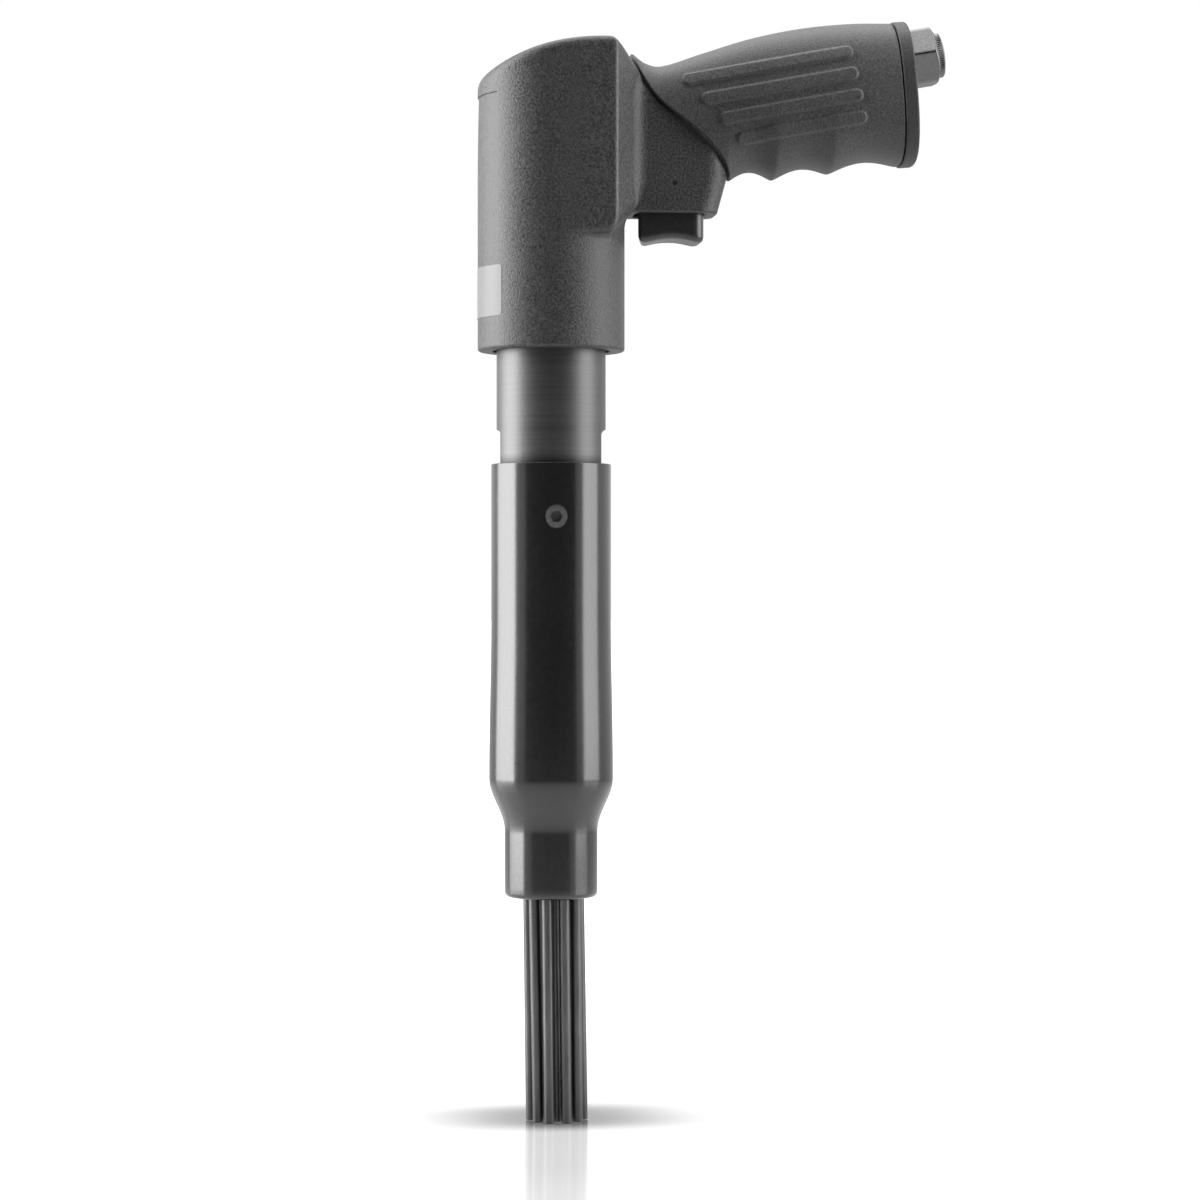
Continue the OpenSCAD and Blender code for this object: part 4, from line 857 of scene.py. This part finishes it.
bundle = {"outer": 9, "outerR": 9.4, "inner": 3, "innerR": 3.6, "r": 2.0, "edge": 0.45,
          "headR": 2.7, "headZ": 177, "length": 180, "leanFrom": 157.5, "lean": 0.0143, "sideways": 0.12,
          "drift": [-0.6, -1.2, 0.3, 0.2, -0.3, 0.4, -0.2, 0.7, -0.4, -0.5, 0.4, -0.3], "sides": 28}
needleProfile = softCorners([
    (0, 0, 0), (bundle["r"], 0, bundle["edge"]), (bundle["r"], bundle["leanFrom"], 0),
    (bundle["r"], bundle["headZ"], 0.2), (bundle["headR"], bundle["headZ"], 0.3),
    (bundle["headR"], bundle["length"], 0.5), (0, bundle["length"], 0)], samples=5)
for k in range(bundle["outer"] + bundle["inner"]):
    onRing = k < bundle["outer"]
    share = (k + 0.5) / bundle["outer"] if onRing else (k - bundle["outer"]) / bundle["inner"]
    turn = math.radians(-90 + share * 360)
    offset = bundle["outerR"] if onRing else bundle["innerR"]
    points, quads = lathe(needleProfile, bundle["sides"], False)
    below = np.clip(bundle["leanFrom"] - points[:, 2], 0, None)
    lean = bundle["lean"] + bundle["drift"][k] / bundle["leanFrom"]
    points[:, 0] += offset * math.cos(turn) + below * lean
    points[:, 1] += offset * math.sin(turn) + below * bundle["lean"] * bundle["sideways"] * math.cos(3.1 * k)
    needle = buildMesh("needleRod%02d" % (k + 1), points, quads, sharpAngle=40, weld=True)
    place(needle, needleSteel, "needle_%02d" % (k + 1), "needle_steel", "needle_%02d" % (k + 1))


# Springs: a round wire carried along a helix with closed ends

springs = [
    {"name": "returnSpring", "node": "needle_spring", "joint": "holder_slide", "travel": 10,
     "fixedEnd": "low", "axisX": 0, "wire": 2.6, "turns": 7, "sides": 14},
    {"name": "valveSpring", "node": "throttle_spring", "joint": "throttle_valve_slide", "travel": 6,
     "fixedEnd": "high", "axisX": tool["triggerX"], "wire": 0.9, "turns": 5, "sides": 10},
]


def springSurface(s, low, high, coilR):
    # the pitch eases to nearly nothing over the first and last three quarters of a turn
    turn = np.linspace(0, 2 * np.pi * s["turns"], s["turns"] * 48 + 1)
    share = turn / turn[-1]
    pitch = np.clip(np.minimum(share, 1 - share) * s["turns"] / 0.75, 0.12, 1)
    climb = np.concatenate([[0], np.cumsum((pitch[1:] + pitch[:-1]) / 2)])
    level = low + s["wire"] / 2 + (high - low - s["wire"]) * climb / climb[-1]
    wireR = s["wire"] / 2 * np.concatenate([[1e-4], np.ones(len(turn) - 2), [1e-4]])
    side = np.linspace(0, 2 * np.pi, s["sides"], endpoint=False)
    reach = coilR + wireR[:, None] * np.cos(side)
    return np.stack([s["axisX"] + reach * np.cos(turn)[:, None], reach * np.sin(turn)[:, None],
                     level[:, None] + wireR[:, None] * np.sin(side)], -1)


for s in springs:
    lowest, highest = (np.array(corner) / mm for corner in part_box(s["node"]))
    coilR = (highest[1] - lowest[1]) / 2 - s["wire"] / 2
    spring = gridPiece(s["name"], springSurface(s, lowest[2], highest[2], coilR), weld=True)
    place(spring, springSteel, "tool", "spring_steel", s["node"])
    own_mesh(spring)


# Label: a plain blank sheet on the back of the body

label = {"low": 296.4, "high": 314.9, "angle": math.radians(43.4), "corner": 1.6, "top": 0.12, "under": 0.02,
         "around": 260, "rings": 24}


def labelSurface():
    # rings of a round-cornered outline, from its middle out on the upper face and back in underneath,
    # wrapped on the round body
    wide, high, corner = label["angle"] * tool["bodyR"], (label["high"] - label["low"]) / 2, label["corner"]
    outline = softCorners([(-wide, -high, corner), (wide, -high, corner), (wide, high, corner),
                           (-wide, high, corner)], closed=True, samples=9)
    outline = np.concatenate([outline, outline[:1]])
    length = runLength(outline)
    at = np.arange(label["around"]) * length[-1] / label["around"]
    outline = np.stack([np.interp(at, length, side) for side in outline.T], -1)
    share = np.linspace(0, 1, label["rings"])
    share = np.concatenate([share, share[::-1]])[:, None]
    radius = tool["bodyR"] + np.repeat([label["top"], label["under"]], label["rings"])[:, None]
    turn = np.pi + share * outline[:, 0] / tool["bodyR"]
    level = (label["low"] + label["high"]) / 2 + share * outline[:, 1]
    return np.stack([radius * np.cos(turn), radius * np.sin(turn), level], -1)


labelPiece = gridPiece("blankLabel", labelSurface(), sharpAngle=40, weld=True)
place(labelPiece, labelPaper, "tool", "cap_plastic")


# Studio: white floor and surroundings, a tall soft light on each side, a dark card behind the camera

studio = {
    "left": {"bearing": 71, "distance": 1.1, "width": 1.40, "height": 1.9, "level": 0.95, "power": 43},
    "right": {"bearing": -64, "distance": 1.1, "width": 0.80, "height": 1.75, "level": 0.90, "power": 11.7},
    "spread": 125, "topPower": 18, "topSize": 1.2, "topPlace": (0, 0.2, 1.7), "fill": 0.22,
    "floorSize": 30000, "floorDrop": 0.2, "floorTone": 0.3, "floorRough": 0.12, "floorGloss": 0.25,
    "floorNear": 0.45, "floorFar": 1.0, "floorFade": (0.1, 0.5), "floorMirror": 0.9, "mirrorReach": 1.2,
    "shade": (0.15, 0.14), "shadeAt": (4, 9), "shadeReach": (62, 38),  # under the needles
    "cardAway": 2000, "cardHalf": 2300, "cardLow": 20, "cardHigh": 2600, "cardTone": 0.05, "cardRough": 0.9,
}


def softLight(name, bearing, distance, width, height, level, power):
    # an upright panel whose nearer edge faces the tool and whose far edge falls off
    lamp = bpy.data.lights.new(name, "AREA")
    lamp.shape = "RECTANGLE"
    lamp.size = width
    lamp.size_y = height
    lamp.energy = power
    lamp.spread = math.radians(studio["spread"])
    holder = bpy.data.objects.new(name, lamp)
    a = math.radians(bearing)
    out = Vector(-ahead * math.cos(a) - aside * math.sin(a))
    along = Vector(ahead * abs(math.sin(a)) - aside * math.cos(a) * np.sign(a))
    holder.location = out * distance + along * width / 2 + Vector((0, 0, level))
    holder.rotation_euler = (-out).to_track_quat("-Z", "Y").to_euler()
    bpy.context.scene.collection.objects.link(holder)


softLight("leftLight", **studio["left"])
softLight("rightLight", **studio["right"])
topLamp = bpy.data.lights.new("topLight", "AREA")
topLamp.size = studio["topSize"]
topLamp.energy = studio["topPower"]
topLight = bpy.data.objects.new("topLight", topLamp)
topLight.location = studio["topPlace"]
bpy.context.scene.collection.objects.link(topLight)


def nodeMath(tree, operation, first, second=0.0):
    # a Math node; each side is a number or another node's output
    made = tree.nodes.new("ShaderNodeMath")
    made.operation = operation
    for socket, value in zip(made.inputs, (first, second)):
        if isinstance(value, (int, float)):
            socket.default_value = value
        else:
            tree.links.new(value, socket)
    return made.outputs[0]


# the surround is white where it is seen, straight or in a mirror, and dim as a light
world = bpy.data.worlds.new("surround")
bpy.context.scene.world = world
world.use_nodes = True
tree = world.node_tree
backdrop = tree.nodes["Background"]
setInputs(backdrop, {"Color": (1, 1, 1, 1)})
path = tree.nodes.new("ShaderNodeLightPath")
seen = nodeMath(tree, "MAXIMUM", path.outputs["Is Camera Ray"], path.outputs["Is Glossy Ray"])
seen = nodeMath(tree, "MAXIMUM", seen, path.outputs["Is Transmission Ray"])
strength = tree.nodes.new("ShaderNodeMapRange")
setInputs(strength, {"To Min": studio["fill"], "To Max": 1.0})
tree.links.new(seen, strength.inputs["Value"])
tree.links.new(strength.outputs["Result"], backdrop.inputs["Strength"])

floorMaterial = bpy.data.materials.new("floorWhite")
floorMaterial.use_nodes = True
tree = floorMaterial.node_tree
floorShader = tree.nodes["Principled BSDF"]
setInputs(floorShader, {"Roughness": studio["floorRough"], "Specular IOR Level": studio["floorGloss"],
                        "Emission Color": (1, 1, 1, 1)})
floorWhere = tree.nodes.new("ShaderNodeTexCoord")
floorReach = tree.nodes.new("ShaderNodeVectorMath")
floorReach.operation = "LENGTH"
tree.links.new(floorWhere.outputs["Object"], floorReach.inputs[0])
floorShare = tree.nodes.new("ShaderNodeMapRange")
setInputs(floorShare, {"From Min": studio["floorFade"][0], "From Max": studio["floorFade"][1],
                       "To Min": studio["floorNear"], "To Max": studio["floorFar"]})
tree.links.new(floorReach.outputs["Value"], floorShare.inputs["Value"])

# a soft shade on the floor under the needles: the root of across squared plus depth cubed
shadeMap = tree.nodes.new("ShaderNodeMapping")
shadeMap.vector_type = "TEXTURE"
setInputs(shadeMap, {"Location": (studio["shadeAt"][0] * mm, studio["shadeAt"][1] * mm, 0),
                     "Scale": (studio["shadeReach"][0] * mm, studio["shadeReach"][1] * mm, 1)})
tree.links.new(floorWhere.outputs["Object"], shadeMap.inputs["Vector"])
shadeAxes = tree.nodes.new("ShaderNodeSeparateXYZ")
tree.links.new(shadeMap.outputs["Vector"], shadeAxes.inputs["Vector"])
across = nodeMath(tree, "POWER", nodeMath(tree, "ABSOLUTE", shadeAxes.outputs["X"]), 2.0)
inDepth = nodeMath(tree, "POWER", nodeMath(tree, "ABSOLUTE", shadeAxes.outputs["Y"]), 3.0)
shadeReach = nodeMath(tree, "POWER", nodeMath(tree, "ADD", across, inDepth), 0.5)
shadeTone = tree.nodes.new("ShaderNodeMapRange")
shadeTone.interpolation_type = "SMOOTHSTEP"
setInputs(shadeTone, {"From Min": studio["shade"][0], "To Min": studio["shade"][1]})
tree.links.new(shadeReach, shadeTone.inputs["Value"])
near = shadeTone.outputs["Result"]

# the floor's own white where it is seen, and in mirrors close to the tool
path = tree.nodes.new("ShaderNodeLightPath")
seen = nodeMath(tree, "MAXIMUM", path.outputs["Is Camera Ray"], path.outputs["Is Transmission Ray"])
shown = nodeMath(tree, "MULTIPLY", nodeMath(tree, "MULTIPLY", seen, floorShare.outputs["Result"]), near)
close = nodeMath(tree, "SUBTRACT", studio["mirrorReach"], floorReach.outputs["Value"])
close = nodeMath(tree, "MULTIPLY", nodeMath(tree, "MAXIMUM", close), studio["floorMirror"])
mirrored = nodeMath(tree, "MULTIPLY", path.outputs["Is Glossy Ray"], close)
tree.links.new(nodeMath(tree, "ADD", shown, mirrored), floorShader.inputs["Emission Strength"])
tint = tree.nodes.new("ShaderNodeCombineColor")
for channel in tint.inputs[:3]:
    tree.links.new(nodeMath(tree, "MULTIPLY", near, studio["floorTone"]), channel)
tree.links.new(tint.outputs["Color"], floorShader.inputs["Base Color"])

cardMaterial = bpy.data.materials.new("cardBlack")
cardMaterial.use_nodes = True
cardShader = cardMaterial.node_tree.nodes["Principled BSDF"]
setInputs(cardShader, {"Base Color": (*grey(studio["cardTone"]), 1), "Roughness": studio["cardRough"]})


def stagePlane(name, corners, material):
    made = buildMesh(name, np.array(corners, float), np.array([[0, 1, 2, 3]]))
    made.data.materials.append(material)
    return made


far, under = studio["floorSize"], -studio["floorDrop"]
stagePlane("floor", [(-far, -far, under), (far, -far, under), (far, far, under), (-far, far, under)],
           floorMaterial)
middle, wide = -ahead * studio["cardAway"], aside * studio["cardHalf"]
low, high = np.array([0, 0, studio["cardLow"]]), np.array([0, 0, studio["cardHigh"]])
card = stagePlane("frontCard", [middle - wide + low, middle + wide + low, middle + wide + high,
                                middle - wide + high], cardMaterial)
card.visible_camera = False
bpy.context.scene.view_settings.view_transform = "Standard"
print("studio set")
